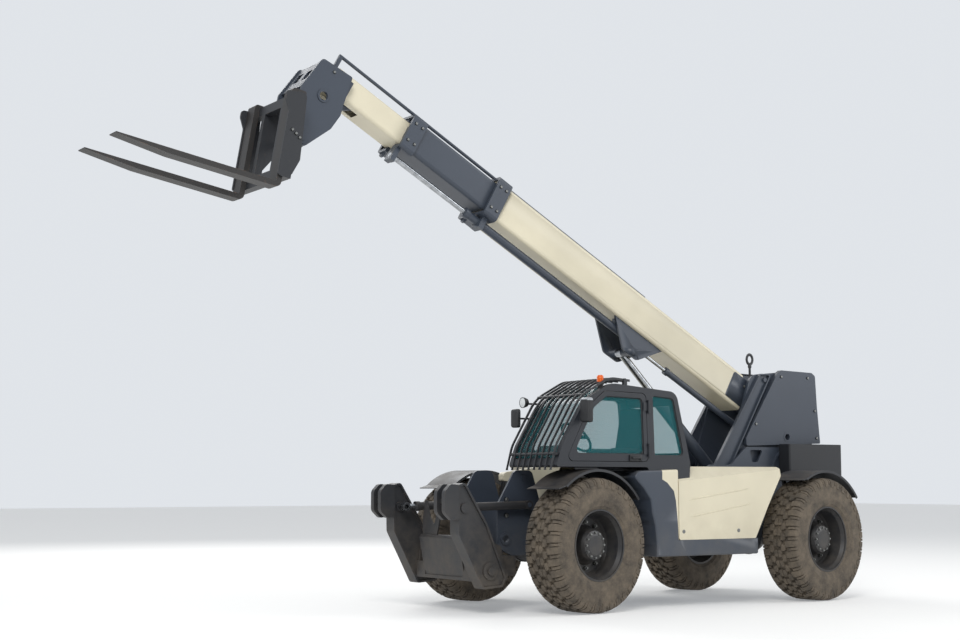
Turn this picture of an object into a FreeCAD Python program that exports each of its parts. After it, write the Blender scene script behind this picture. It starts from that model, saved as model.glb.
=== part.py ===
import FreeCAD, Part
import math
import os
from FreeCAD import Vector

# A telescopic handler with a fixed boom, front stabilisers and pallet forks.
# Millimetres. X points forward, Y to the machine's left, Z up from the ground.
# Lengths along X are first given from the middle of the wheelbase.

# Running gear
WHEELBASE = 2980.0
AXLE_X = WHEELBASE / 2
TRACK = 1900.0
TYRE_R = 630.0
TYRE_W = 420.0
TYRE_FACETS = 36
LUG_COUNT = 18
LUG_DEPTH = 30.0
RIM_R = 335.0
TYRE_LIP_R = RIM_R + 0.3
HUB_R = 165.0
SPINDLE_R = 60.0
KINGPIN_Y = 750.0
KINGPIN_R = 35.0
DIFF_R = 185.0
PARK_STEER = 9.0
GUARD_R = 700.0
GUARD_T = 8.0
RUNNING = 0.06

# Chassis
CHEEK_Y = 330.0
CHEEK_T = 25.0
TOWER_IN = 262.0
TOWER_T = 30.0
CHASSIS_LOW = 520.0
CHASSIS_TOP = 1020.0
REAR_X = -2480.0
NOSE_X = 2060.0
HALF_WIDTH = 1140.0
ARCH_REACH = 770.0
BODY_DEPTH = 400.0
BALLAST_HALF = 538.0
HITCH_R = 20.0
TIE_R = 35.0
SKIRT_Z = 505.0
PANEL_Z = 660.0
PANEL_TOP = 1370.0

# Boom, measured along it (s) and square to it (t) from its rear pin
BOOM_X = -1870.0
BOOM_Z = 1860.0
BOOM_ANGLE = 29.3
BOOM_PIN_R = 55.0
BASE_HALF = 210.0
BASE_LOW = -215.0
BASE_TOP = 155.0
BASE_REAR = 650.0
BASE_END = 4440.0
BASE_WALL = 10.0
PAD_GAP = 14.0
PAD_CLEAR = 0.3
MID_WALL = 8.0
MID_REAR = 1260.0
MID_END = 5540.0
FLY_WALL = 8.0
FLY_REAR = 2000.0
FLY_END = 6400.0
FLY_LOW = -168.0
FLY_TOP = 80.0
FLY_HALF = 146.0
COLLAR_L = 165.0
COLLAR_T = 32.0
HEAD_HALF = 245.0
HEAD_T = 25.0
HEAD_PIN_R = 35.0

# Fork carriage, in its own tilt
CARRIAGE_S = 6440.0
CARRIAGE_T = -780.0
FORK_TILT = 10.0
FORK_LENGTH = 1500.0
FORK_W = 150.0
FORK_T = 50.0
FORK_Y = 380.0
CARRIAGE_HALF = 480.0
RAIL_BACK = 145.0
RAIL_FRONT = 215.0
RAIL_TOP = 320.0
TILT_EYE = (60.0, 330.0)

# Cylinders: barrel radius, rod radius
LIFT_R = 65.0
LIFT_ROD_R = 40.0
LIFT_FOOT = (-1300.0, 1050.0)
LIFT_EYE = (2180.0, -418.0)
LIFT_Y = -35.0
LIFT_FOOT_R = 38.0
LIFT_PIN_R = 45.0
GUSSET_Y = 150.0
COMP_R = 33.0
COMP_ROD_R = 20.0
COMP_FOOT = (-1645.0, 1604.0)
COMP_EYE = (2010.0, -332.0)
COMP_Y = 95.0
COMP_FOOT_R = 24.0
COMP_PIN_R = 30.0
TILT_R = 45.0
TILT_ROD_R = 28.0
TILT_FOOT = (5950.0, 0.0)
EXT_R = 42.0
EXT_ROD_R = 26.0
EXT_T = -300.0
EXT_START = 2330.0
EXT_END = 4590.0
EXT_ROD_START = 3300.0
EXT_Y = 95.0
ROD_CLEAR = 0.5

# Stabilisers
LEG_Y = 580.0
LEG_T = 150.0
LEG_PIVOT = (2340.0, 400.0)
LEG_PIN_R = 40.0
LEG_CYL_Y = 415.0
LEG_CYL_FOOT = (1750.0, 1000.0)
LEG_CYL_EYE = (2620.0, 980.0)
LEG_CYL_R = 40.0
LEG_FOOT_R = 22.0

# Cab
CAB_IN = 310.0
CAB_OUT = 1080.0
CAB_WALL = 40.0
CAB_FLOOR = 1360.0
CAB_LOW = CHASSIS_TOP + 0.3
GLASS_T = 6.0
SEAL = 0.3
SEAT_HALF = 215.0

# Hinges: axis, barrel length and where along the axis they sit
HINGE_R = 6.0
HINGE_L = 80.0
DOOR_HINGE = (800.0, CAB_OUT + 13)
DOOR_HINGES = (1480.0, 1900.0)
HOOD_HINGE = (-392.0, 1508.0)
HOOD_HINGES = (-380.0, 280.0)

LEFT, RIGHT = 1.0, -1.0
FORK_TIP_X = 5959.0
ORIGIN_X = (FORK_TIP_X + REAR_X) / 2


def export(name, shape):
    """Write one piece, with the middle of the machine's length at X = 0."""
    placed = shape.copy()
    placed.translate(Vector(-ORIGIN_X, 0, 0))
    placed.exportStep("parts/" + name + ".step")


def outline(points, to_vector):
    """Closed outline of straight runs. A third value rounds that corner."""
    count = len(points)
    starts, ends, arcs = [], [], []
    for index, point in enumerate(points):
        here = Vector(point[0], point[1], 0)
        before = Vector(points[index - 1][0], points[index - 1][1], 0)
        after = Vector(points[(index + 1) % count][0], points[(index + 1) % count][1], 0)
        radius = point[2] if len(point) > 2 else 0.0
        if radius == 0.0:
            starts.append(here)
            ends.append(here)
            arcs.append(None)
            continue
        back = (before - here).normalize()
        ahead = (after - here).normalize()
        half = back.getAngle(ahead) / 2
        reach = radius / math.tan(half)
        centre_way = (back + ahead).normalize()
        middle = here + centre_way * (radius / math.sin(half) - radius)
        starts.append(here + back * reach)
        ends.append(here + ahead * reach)
        arcs.append(middle)
    edges = []
    for index in range(count):
        if arcs[index] is not None:
            three = [to_vector(p) for p in (starts[index], arcs[index], ends[index])]
            edges.append(Part.Arc(*three).toShape())
        run = [to_vector(p) for p in (ends[index], starts[(index + 1) % count])]
        if run[0].distanceToPoint(run[1]) > 0.01:
            edges.append(Part.LineSegment(*run).toShape())
    return Part.Wire(edges)


def shrunk(points, distance):
    """The same outline moved inwards by a distance, with its corner radii."""
    count = len(points)
    area = sum(points[i - 1][0] * points[i][1] - points[i][0] * points[i - 1][1] for i in range(count))
    moved = []
    for index, point in enumerate(points):
        here = Vector(point[0], point[1], 0)
        back = Vector(points[index - 1][0], points[index - 1][1], 0) - here
        ahead = Vector(points[(index + 1) % count][0], points[(index + 1) % count][1], 0) - here
        convex = ahead.cross(back).z * area > 0
        way = distance if convex else -distance
        half = back.getAngle(ahead) / 2
        corner = here + (back.normalize() + ahead.normalize()).normalize() * (way / math.sin(half))
        radius = point[2] if len(point) > 2 else 0.0
        moved.append((corner.x, corner.y, max(radius - way, 0.0) if radius else 0.0))
    return moved


def side_plate(points, y0, y1):
    """Plate cut to an outline in X and Z, from y0 to y1."""
    face = Part.Face(outline(points, lambda p: Vector(p.x, y0, p.y)))
    return face.extrude(Vector(0, y1 - y0, 0))


def front_plate(points, x0, x1):
    """Plate cut to an outline in Y and Z, from x0 to x1."""
    face = Part.Face(outline(points, lambda p: Vector(x0, p.x, p.y)))
    return face.extrude(Vector(x1 - x0, 0, 0))


def flat_plate(points, z0, z1):
    """Plate cut to an outline in X and Y, from z0 to z1."""
    face = Part.Face(outline(points, lambda p: Vector(p.x, p.y, z0)))
    return face.extrude(Vector(0, 0, z1 - z0))


def box(x0, x1, y0, y1, z0, z1):
    return Part.makeBox(x1 - x0, y1 - y0, z1 - z0, Vector(x0, y0, z0))


def rod_y(x, z, radius, y0, y1):
    """Round bar across the machine."""
    return Part.makeCylinder(radius, y1 - y0, Vector(x, y0, z), Vector(0, 1, 0))


def rod_z(x, y, radius, z0, z1):
    return Part.makeCylinder(radius, z1 - z0, Vector(x, y, z0), Vector(0, 0, 1))


def join(shapes):
    return shapes[0].fuse(shapes[1:]).removeSplitter()


def cut(shape, tools):
    for tool in tools:
        shape = shape.cut(tool)
    return shape


def mirrored(shape):
    """The same piece on the machine's other side."""
    return shape.mirror(Vector(0, 0, 0), Vector(0, 1, 0))


def both(shape):
    return [shape, mirrored(shape)]


def loose(shapes):
    """Solids of one node that don't touch."""
    return Part.makeCompound(shapes)


def on_boom(shape):
    """Turn a piece drawn along the boom to the boom's angle, on its pin."""
    placed = shape.copy()
    placed.rotate(Vector(0, 0, 0), Vector(0, 1, 0), -BOOM_ANGLE)
    placed.translate(Vector(BOOM_X, 0, BOOM_Z))
    return placed


def boom_point(s, t):
    """X and Z of a point given along the boom."""
    turn = math.radians(BOOM_ANGLE)
    x = BOOM_X + s * math.cos(turn) - t * math.sin(turn)
    z = BOOM_Z + s * math.sin(turn) + t * math.cos(turn)
    return x, z


def on_carriage(shape):
    """Turn a piece drawn at level forks to the parked tilt, on the head's pin."""
    x, z = boom_point(CARRIAGE_S, CARRIAGE_T)
    placed = shape.copy()
    placed.rotate(Vector(0, 0, 0), Vector(0, 1, 0), -FORK_TILT)
    placed.translate(Vector(x, 0, z))
    return placed


def along(shape, start, end):
    """Turn a piece drawn along X so that it runs from start to end, in X and Z."""
    angle = math.degrees(math.atan2(end[1] - start[1], end[0] - start[0]))
    placed = shape.copy()
    placed.rotate(Vector(0, 0, 0), Vector(0, 1, 0), -angle)
    placed.translate(Vector(start[0], 0, start[1]))
    return placed


def barrel(radius, rod_radius, length, y, eye_r, eye_w):
    """Cylinder barrel along X with an eye at X = 0 and a gland at its end."""
    tube = Part.makeCylinder(radius, length - eye_r, Vector(eye_r, y, 0), Vector(1, 0, 0))
    gland = Part.makeCylinder(radius + 8, 45, Vector(length - 45, y, 0), Vector(1, 0, 0))
    eye = rod_y(0, 0, eye_r, y - eye_w / 2, y + eye_w / 2)
    neck = box(0, eye_r + 10, y - eye_w / 2, y + eye_w / 2, -eye_r * 0.8, eye_r * 0.8)
    bore = Part.makeCylinder(rod_radius + ROD_CLEAR, length, Vector(eye_r + 60, y, 0), Vector(1, 0, 0))
    return join([tube, gland, eye, neck]).cut(bore)


def piston_rod(radius, start, length, y, eye_r, eye_w, pin_r):
    """Chromed rod along X from start to its eye at X = length."""
    shaft = Part.makeCylinder(radius, length - eye_r * 0.7 - start, Vector(start, y, 0), Vector(1, 0, 0))
    eye = rod_y(length, 0, eye_r, y - eye_w / 2, y + eye_w / 2)
    hole = rod_y(length, 0, pin_r, y - eye_w, y + eye_w)
    return join([shaft, eye]).cut(hole)


# Wheels, drawn at the origin with the outer side towards +Y

def faceted_ring(profile, count):
    """Ring of flat facets round Y, from a closed outline of radius and y."""
    faces = []
    for step in range(count):
        turns = [2 * math.pi * (step + k) / count for k in (0, 1)]
        for index, (r1, y1) in enumerate(profile):
            r0, y0 = profile[index - 1]
            corners = [Vector(r * math.cos(a), y, r * math.sin(a))
                       for r, y, a in ((r0, y0, turns[0]), (r1, y1, turns[0]),
                                       (r1, y1, turns[1]), (r0, y0, turns[1]))]
            faces.append(Part.Face(Part.makePolygon(corners + corners[:1])))
    solid = Part.Solid(Part.Shell(faces))
    if solid.Volume < 0:
        solid.reverse()
    return solid


def tyre():
    """Carcass of flat facets with two rows of slanted shoulder lugs."""
    half = TYRE_W / 2
    crown = TYRE_R - LUG_DEPTH
    seat = TYRE_LIP_R / math.cos(math.pi / TYRE_FACETS)
    profile = [
        # radius, y
        (seat, -half * 0.86), (seat, half * 0.86), (TYRE_R * 0.7, half),
        (crown * 0.93, half * 0.95), (crown, half * 0.74), (crown, -half * 0.74),
        (crown * 0.93, -half * 0.95), (TYRE_R * 0.7, -half),
    ]
    carcass = faceted_ring(profile, TYRE_FACETS)
    top = math.sqrt(TYRE_R ** 2 - 62 ** 2)
    shape = [
        # y, height: the lug's section, from the middle of the tread to the shoulder
        (4, crown - 16), (12, top), (half * 0.74, top), (half * 0.99, TYRE_R * 0.92),
        (half * 0.9, TYRE_R * 0.85),
    ]
    lugs = []
    for index in range(2 * LUG_COUNT):
        side = LEFT if index % 2 else RIGHT
        block = front_plate([(y * side, z) for y, z in shape], -30, 30)
        block.rotate(Vector(0, 0, 0), Vector(0, 0, 1), 14 * side)
        block.rotate(Vector(0, 0, 0), Vector(0, 1, 0), 90 + 180.0 * index / LUG_COUNT)
        lugs.append(block)
    return carcass.fuse(lugs)


def rim():
    """Deep dished rim with its hub, bored for the spindle from inside."""
    half = TYRE_W / 2 * 0.86
    profile = [
        # radius, y
        (SPINDLE_R + RUNNING, -55), (SPINDLE_R + RUNNING, 62), (0, 62), (0, 128),
        (90, 128), (HUB_R - 30, 112), (HUB_R - 12, 80), (HUB_R, 20), (HUB_R + 25, -20),
        (262, -20), (280, 10), (292, 80), (300, half - 50), (RIM_R - 16, half - 14),
        (RIM_R - 14, half), (RIM_R, half), (RIM_R, -half), (RIM_R - 22, -half),
        (300, -half + 60), (276, -40), (230, -55),
    ]
    face = Part.Face(outline(profile, lambda p: Vector(p.x, p.y, 0)))
    return face.revolve(Vector(0, 0, 0), Vector(0, 1, 0), 360)


def hub_carrier(guard):
    """Steering knuckle at its kingpin with its spindle and guard, drawn for the left side."""
    reach = TRACK / 2 - KINGPIN_Y
    body = rod_z(0, 0, 95, -115, 115)
    face = rod_y(0, 0, 130, 60, reach - 60)
    neck = rod_y(0, 0, 100, 0, 70)
    spindle = rod_y(0, 0, SPINDLE_R, reach - 70, reach + 58)
    bore = rod_z(0, 0, KINGPIN_R + RUNNING, -200, 200)
    return body.fuse(guard).fuse([face, neck, spindle]).cut(bore)


def mudguard(first_angle, lip_length):
    """Curved guard over the tyre, its edges rolled, on two stays from the knuckle."""
    inner, outer = -45.0, 375.0
    first, last = math.radians(first_angle), math.radians(143)
    far = GUARD_R * 3
    wedge = side_plate([(0, 0), (far * math.cos(first), far * math.sin(first)),
                        (0, far), (far * math.cos(last), far * math.sin(last))],
                       inner, outer)
    rings = []
    # radius from, radius to, y from, y to of the sheet and its rolled edges
    for r0, r1, y0, y1 in ((GUARD_R, GUARD_R + GUARD_T, inner, outer),
                           (GUARD_R - 16, GUARD_R + GUARD_T, outer - 10, outer),
                           (GUARD_R - 16, GUARD_R + GUARD_T, inner, inner + 10)):
        rings.append(rod_y(0, 0, r1, y0, y1).cut(rod_y(0, 0, r0, y0 - 1, y1 + 1)).common(wedge))
    tip_x, tip_z = GUARD_R * math.cos(first), GUARD_R * math.sin(first)
    lip = box(0, lip_length, inner, outer, 0, GUARD_T)
    lip.rotate(Vector(0, 0, 0), Vector(0, 1, 0), 16)
    lip.translate(Vector(tip_x - 4, 0, tip_z))
    stays = []
    for way, top in ((1.0, 200.0), (-1.0, 300.0)):
        rise = math.sqrt(GUARD_R ** 2 - top ** 2) + 4
        stays.append(side_plate([
            (way * 60, -60), (way * 95, -60), (way * 150, 150), (way * top, rise),
            (way * (top - 45), rise), (way * 122, 150), (way * 85, 60), (way * 60, 40),
        ], inner, inner + 24))
    return join(rings + [lip] + stays)


def axle_bulge(x, extra):
    """Differential housing with its bolted flange at an axle's middle, or room for it."""
    profile = [
        # radius, y
        (0, -1.0), (80, -0.95), (140, -0.66), (DIFF_R, -0.2), (DIFF_R, -0.1), (DIFF_R + 10, -0.1),
        (DIFF_R + 10, 0.1), (DIFF_R, 0.1), (DIFF_R, 0.2), (140, 0.66), (80, 0.95), (0, 1.0),
    ]
    points = [(r + extra if r else 0, y * DIFF_R + math.copysign(extra, y)) for r, y in profile]
    face = Part.Face(outline(points, lambda p: Vector(p.x, p.y, 0)))
    ring = face.revolve(Vector(0, 0, 0), Vector(0, 1, 0), 360)
    ring.translate(Vector(x, 0, TYRE_R))
    return ring


def axle():
    """Steered axle with its differential and the forks for the kingpins."""
    bulge = axle_bulge(0, 0)
    bulge.translate(Vector(0, 0, -TYRE_R))
    pieces = [rod_y(0, 0, 85, -600, 600), bulge]
    for side in (LEFT, RIGHT):
        end = side * KINGPIN_Y
        root = side * (KINGPIN_Y - 190)
        near, far = sorted((root, end))
        for low, high in ((118, 158), (-158, -118)):
            pieces += [box(-50, 50, near, far, low, high), rod_z(0, end, 60, low, high)]
        near, far = sorted((root, side * (KINGPIN_Y - 150)))
        pieces.append(box(-50, 50, near, far, -158, 158))
        pieces.append(rod_z(0, end, KINGPIN_R, -158, 158))
    return join(pieces)


def wheel_station(x, side, name, tyre_shape):
    """Export knuckle, guard, tyre and rim of one corner, steered as parked."""
    guard = mudguard(52, 110) if x > 0 else mudguard(62, 60)
    reach = TRACK / 2 - KINGPIN_Y
    pieces = []
    for node, shape in (("tyre_" + name, tyre_shape.copy()), ("rim_" + name, rim())):
        shape.translate(Vector(0, reach, 0))
        pieces.append((node, shape))
    pieces.append(("knuckle_" + name, hub_carrier(guard)))
    for node, shape in pieces:
        if side < 0:
            shape = mirrored(shape)
        shape.rotate(Vector(0, 0, 0), Vector(0, 0, 1), PARK_STEER)
        shape.translate(Vector(x, side * KINGPIN_Y, TYRE_R))
        export(node, shape)


# Chassis

def cheek_outline():
    """Side view of one long cheek plate, cut out over both axles."""
    rear, front = -AXLE_X, AXLE_X
    return [
        (rear - 590, 700, 60.0), (rear - 590, CHASSIS_TOP, 40.0), (rear - 260, 1590, 40.0),
        (rear + 340, 1590, 40.0), (rear + 560, 1400, 60.0), (rear + 870, 1400, 60.0),
        (rear + 1070, CHASSIS_TOP, 80.0), (front + 70, CHASSIS_TOP, 60.0),
        (front + 170, 1330, 60.0), (front + 370, 1330, 60.0), (NOSE_X, 1000, 40.0),
        (NOSE_X, 600, 60.0), (front + 410, CHASSIS_LOW, 80.0), (front + 160, CHASSIS_LOW, 60.0),
        (front + 110, 790, 40.0), (front - 110, 790, 40.0), (front - 160, CHASSIS_LOW, 60.0),
        (rear + 160, CHASSIS_LOW, 60.0), (rear + 110, 790, 40.0), (rear - 110, 790, 40.0),
        (rear - 160, CHASSIS_LOW + 80, 60.0), (rear - 410, CHASSIS_LOW + 80, 60.0),
    ]


def chassis():
    """Two long cheek plates with their bosses, and the plates that tie them."""
    inner, outer = CHEEK_Y, CHEEK_Y + CHEEK_T
    window = side_plate([(-1395, 1560, 20.0), (-1205, 1560, 20.0), (-1235, 1430, 20.0),
                         (-1315, 1430, 20.0)], inner - 1, outer + 1)
    tie_hole = rod_y(NOSE_X - 90, 680, TIE_R, inner - 1, outer + 20)
    cheek = side_plate(cheek_outline(), inner, outer).cut(window)
    rib = rod_y(-1800, 1300, 300, outer, outer + 22).cut(rod_y(-1800, 1300, 278, outer - 1, outer + 23))
    rib = rib.common(box(-1800, -1500, outer, outer + 22, 1330, 1700))
    extras = [
        rib,
        rod_y(NOSE_X - 90, 680, 60, outer, outer + 12),
        rod_y(NOSE_X - 300, 1262, 26, outer, outer + 14),
        rod_y(LEG_CYL_FOOT[0], LEG_CYL_FOOT[1], LEG_FOOT_R, outer, LEG_CYL_Y + 40),
    ]
    cheek = join([cheek] + extras).cut(tie_hole)
    pieces = both(cheek)
    # x from, x to, z from, z to of the plates between the cheeks
    for x0, x1, z0, z1 in ((-AXLE_X - 560, -AXLE_X - 535, 620, 950),
                           (-AXLE_X + 240, -AXLE_X + 265, 560, 900),
                           (-900, 900, CHASSIS_LOW + 20, CHASSIS_LOW + 35),
                           (AXLE_X - 230, AXLE_X - 205, 560, 990),
                           (AXLE_X + 310, AXLE_X + 335, 560, 1000)):
        pieces.append(box(x0, x1, -inner, inner, z0, z1))
    for x in (-AXLE_X, AXLE_X):
        saddle = box(x - 130, x + 130, -inner, inner, 850, 930)
        block = box(x - 70, x + 70, -120, 120, 770, 851).cut(axle_bulge(x, SEAL))
        pieces.append(join([saddle, block]))
    return loose(pieces)


def strut_outline():
    return [(-1567, 2385, 25.0), (-1400, 2385, 40.0), (-1335, 2290, 30.0), (-500, 1050, 30.0),
            (-745, 1030, 30.0)]


def cover_outline():
    return [(-1170, 1605, 20.0), (-1165, 1690, 30.0), (-1640, 2395, 30.0), (-1700, 2432, 30.0),
            (-2160, 2420, 30.0), (-2212, 2385, 30.0), (-2232, 2050, 20.0), (-2272, 1640, 15.0)]


def tower():
    """Rear uprights with channel struts and folded covers, and the pins between them."""
    inner, outer, face = TOWER_IN, TOWER_IN + TOWER_T, CHEEK_Y + 15
    hole_x, hole_z = -1770, 1705
    upright = side_plate([
        (-2060, 960, 40.0), (-2200, 1640, 300.0), (-2170, 2370, 60.0), (-1700, 2410, 60.0),
        (-1290, 2370, 150.0), (-1040, 1640, 60.0), (-900, 960, 40.0),
    ], inner, outer)
    strut = side_plate(strut_outline(), outer, CHEEK_Y).cut(
        side_plate(shrunk(strut_outline(), 14), outer + 10, CHEEK_Y + 1))
    bolt = rod_y(-1480, 2320, 24, outer, CHEEK_Y - 8)
    cover = side_plate(cover_outline(), outer, face).cut(
        side_plate(shrunk(cover_outline(), 8), outer - 1, face - 8))
    cover = cover.cut(side_plate(shrunk(strut_outline(), -20), outer - 1, face + 1))
    ring = rod_y(hole_x, hole_z, 52, outer, face + 4)
    cap = rod_y(BOOM_X, BOOM_Z, 95, outer, outer + 25)
    side = cut(join([upright, strut, bolt, cover, ring, cap]), [
        rod_y(hole_x, hole_z, 34, inner - 1, face + 10),
        rod_y(BOOM_X, BOOM_Z, BOOM_PIN_R + RUNNING, inner - 1, outer),
    ])
    pieces = both(side)
    pieces.append(rod_y(BOOM_X, BOOM_Z, BOOM_PIN_R, -outer, outer))
    pieces.append(box(-2085, -2065, -inner, inner, 1010, 1560))
    # x, z, radius of the bars between the uprights
    for x, z, radius in ((-2110, 2300, 30), (LIFT_FOOT[0], LIFT_FOOT[1], LIFT_FOOT_R),
                         (COMP_FOOT[0], COMP_FOOT[1], COMP_FOOT_R)):
        pieces.append(rod_y(x, z, radius, -inner, inner))
    return loose(pieces)


def counterweight():
    """Rear ballast round the tower's foot, its lower block and the hitch jaw."""
    slot = CHEEK_Y + CHEEK_T + SEAL
    rear, half = REAR_X + 60, BALLAST_HALF
    upper = flat_plate([
        (rear, -half, 50.0), (rear, half, 50.0), (rear + 810, half, 20.0), (rear + 810, slot + 25, 0),
        (rear + 560, slot + 25, 0), (rear + 560, slot, 0), (rear + 130, slot, 0), (rear + 130, -slot, 0),
        (rear + 560, -slot, 0), (rear + 560, -slot - 25, 0), (rear + 810, -slot - 25, 0),
        (rear + 810, -half, 20.0),
    ], 1270, 1625)
    lower = flat_plate([(rear + 20, -430, 80.0), (rear + 20, 430, 80.0), (rear + 290, 430, 0),
                        (rear + 290, -430, 0)], 930, 1271)
    neck = box(rear + 130, rear + 325, -300, 300, 700, 931)
    jaws = [flat_plate([(REAR_X, -70, 60.0), (REAR_X, 70, 60.0), (rear + 140, 110, 0),
                        (rear + 140, -110, 0)], low, low + 40) for low in (720, 860)]
    return join([upper, lower, neck] + jaws).cut(rod_z(REAR_X + 75, 0, HITCH_R, 700, 920))


def left_body():
    """Dark side bodywork on the cab's side: skirt, rounded arch and inner floor."""
    reach = AXLE_X - ARCH_REACH
    outer_y = HALF_WIDTH - 38
    deep = outer_y - BODY_DEPTH
    column = side_plate([
        (-600, SKIRT_Z, 20.0), (-600, PANEL_Z, 0), (440, PANEL_Z, 0), (440, 1340, 20.0),
        (reach + 215, 1325, 60.0), (reach + 270, 1262, 30.0), (reach + 158, 1162, 80.0),
        (reach + 68, 1048, 60.0), (reach + 53, 930, 80.0), (reach + 17, 800, 100.0),
        (reach, 640, 60.0), (reach, SKIRT_Z, 10.0),
    ], deep, outer_y)
    edges = [e for e in column.Edges if abs(e.CenterOfMass.y - outer_y) < 1
             and e.CenterOfMass.z > 1250 and e.CenterOfMass.x > 450]
    column = column.makeFillet(18, edges)
    hollow = side_plate([
        (-570, SKIRT_Z - 1, 0), (-570, PANEL_Z - 30, 0), (reach - 200, PANEL_Z - 30, 0),
        (reach - 160, 1150, 0), (reach - 20, 1000, 0), (reach - 40, SKIRT_Z - 1, 0),
    ], deep + 20, outer_y - 40)
    room = side_plate(shrunk(cab_outline(0), -SEAL), CAB_IN - 100, CAB_OUT + SEAL)
    floor = box(-560, 640, CHEEK_Y + CHEEK_T, deep + 1, 560, 580)
    return cut(column, [hollow, room]).fuse(floor).removeSplitter()


def shoulder_cut():
    """Wedge above the panel's slanted shoulder, lower at the front than at the rear."""
    outer_y = HALF_WIDTH - 36
    wedge = front_plate([(outer_y + 100, 1073), (outer_y - 704, 1743), (outer_y + 100, 1743)], 1200, 1201)
    face = [f for f in wedge.Faces if abs(f.CenterOfMass.x - 1200) < 0.1][0]
    return face.extrude(Vector(-2400, 0, 219))


def left_panel():
    """Cream cover over the tanks behind the cab, with its slanted shoulder."""
    rear = -AXLE_X
    cover = side_plate([
        (rear + 930, PANEL_Z + SEAL, 20.0), (rear + 745, 990, 300.0), (rear + 570, 1280, 30.0),
        (rear + 590, PANEL_TOP, 30.0), (340, PANEL_TOP, 30.0), (440 - SEAL, PANEL_TOP - 20, 30.0),
        (440 - SEAL, PANEL_Z + SEAL, 20.0),
    ], 400, HALF_WIDTH - 36)
    hollow = side_plate([(rear + 1000, PANEL_Z - 1), (rear + 830, 1010, 150.0), (rear + 730, 1250, 60.0),
                         (340, 1250, 60.0), (400, PANEL_Z - 1)], 420, HALF_WIDTH - 160)
    room = side_plate(shrunk(cab_outline(0), -SEAL), CAB_IN - 100, CAB_OUT + SEAL)
    return cut(cover, [shoulder_cut(), room, hollow])


def hood():
    """Engine hood on the other side, hinged along its inner edge, with a low nose."""
    hinge_y, hinge_z = HOOD_HINGE
    rear, front, inner, top = -AXLE_X, AXLE_X, hinge_y - 8, hinge_z - 16
    outer_y = -HALF_WIDTH + 36
    nose_y = -CHEEK_Y - CHEEK_T - 135
    shell = side_plate([
        (rear + 530, 1330, 40.0), (rear + 560, top - 20, 60.0), (front - 1000, top, 200.0),
        (front - 560, 1400, 22.0), (front - 600, 1345, 20.0), (front - 700, 1130, 60.0),
        (front - 775, 800, 100.0), (front - 800, PANEL_Z + SEAL, 20.0),
        (rear + 930, PANEL_Z + SEAL, 20.0), (rear + 745, 990, 300.0),
    ], outer_y, inner)
    edges = [e for e in shell.Edges if abs(e.CenterOfMass.y - outer_y) < 1
             and e.CenterOfMass.z > 1340]
    shell = shell.makeFillet(18, edges)
    nose = side_plate([
        (front - 900, 1200, 0), (front - 900, top - 30, 0), (front - 600, 1390, 150.0),
        (front - 20, 1312, 40.0), (front - 20, 1230, 20.0),
    ], nose_y, inner)
    hollow = side_plate([
        (rear + 640, 1380, 30.0), (rear + 660, top - 45, 30.0), (front - 1000, top - 45, 60.0),
        (front - 700, 1370, 60.0), (front - 830, 1000, 20.0), (front - 880, 500), (rear + 990, 500),
        (rear + 860, 1000),
    ], outer_y + 30, inner + 10)
    louvres = []
    for index in range(7):
        x = rear + 1050 + 75 * index
        louvres.append(side_plate([(x, 900, 8.0), (x + 34, 900, 8.0), (x + 64, 1180, 8.0),
                                   (x + 30, 1180, 8.0)], outer_y - 1, outer_y + 31))
    body = cut(join([shell, nose]), [hollow] + louvres)
    along_x = Vector(1, 0, 0)
    for x in HOOD_HINGES:
        leaf = box(x, x + HINGE_L, inner - 40, hinge_y, top - 30, hinge_z)
        knuckle = Part.makeCylinder(2 * HINGE_R, HINGE_L, Vector(x, hinge_y, hinge_z), along_x)
        body = body.fuse([leaf, knuckle])
        body = body.cut(Part.makeCylinder(HINGE_R + RUNNING, HINGE_L + 2, Vector(x - 1, hinge_y, hinge_z), along_x))
    return body


def engine_bay():
    """Tray, skirt and inner wall that carry the engine and the hood's hinges."""
    hinge_y, hinge_z = HOOD_HINGE
    outer_y, wall_y = -HALF_WIDTH + 40, -CHEEK_Y - CHEEK_T
    skirt = side_plate([
        (-600, SKIRT_Z, 20.0), (-600, PANEL_Z), (630, PANEL_Z), (690, SKIRT_Z, 10.0),
    ], outer_y, outer_y + 30)
    tray = box(-590, 620, outer_y + 20, wall_y, SKIRT_Z + 10, SKIRT_Z + 30)
    wall = side_plate([(-400, SKIRT_Z + 20), (-400, 1480, 20.0), (420, 1480, 60.0), (600, 1380, 40.0),
                       (600, SKIRT_Z + 20)], wall_y - 12, wall_y)
    pieces = [skirt, tray, wall]
    for x in HOOD_HINGES:
        for x0 in (x - 22, x + HINGE_L + 2):
            pieces.append(box(x0, x0 + 20, hinge_y - HINGE_R, wall_y, 1440, hinge_z + 2 * HINGE_R))
        pieces.append(Part.makeCylinder(HINGE_R, HINGE_L + 44, Vector(x - 22, hinge_y, hinge_z), Vector(1, 0, 0)))
    return join(pieces)


def engine():
    """The engine as one plain block on its tray."""
    wall_y = -CHEEK_Y - CHEEK_T
    return box(-450, 420, wall_y - 0.45 * (HALF_WIDTH + wall_y) - 70, wall_y - 60, SKIRT_Z + 30, 1250)


# Cab

def cab_outline(inset):
    """Side profile of the cab, moved inwards by inset."""
    d = inset
    return [
        (300 + d, CAB_LOW + d, 40.0), (270 + d, 1400, 120.0), (440 + d, 2090 - d, 110.0 - d),
        (1250, 2155 - d, 260.0), (1560 - d * 0.8, 1990 - d * 0.6, 400.0),
        (1830 - d, 1560, 300.0), (1900 - d, CAB_FLOOR + d, 20.0), (800 - d, CAB_FLOOR + d, 30.0),
        (770 - d, CAB_LOW + d, 40.0),
    ]


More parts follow.
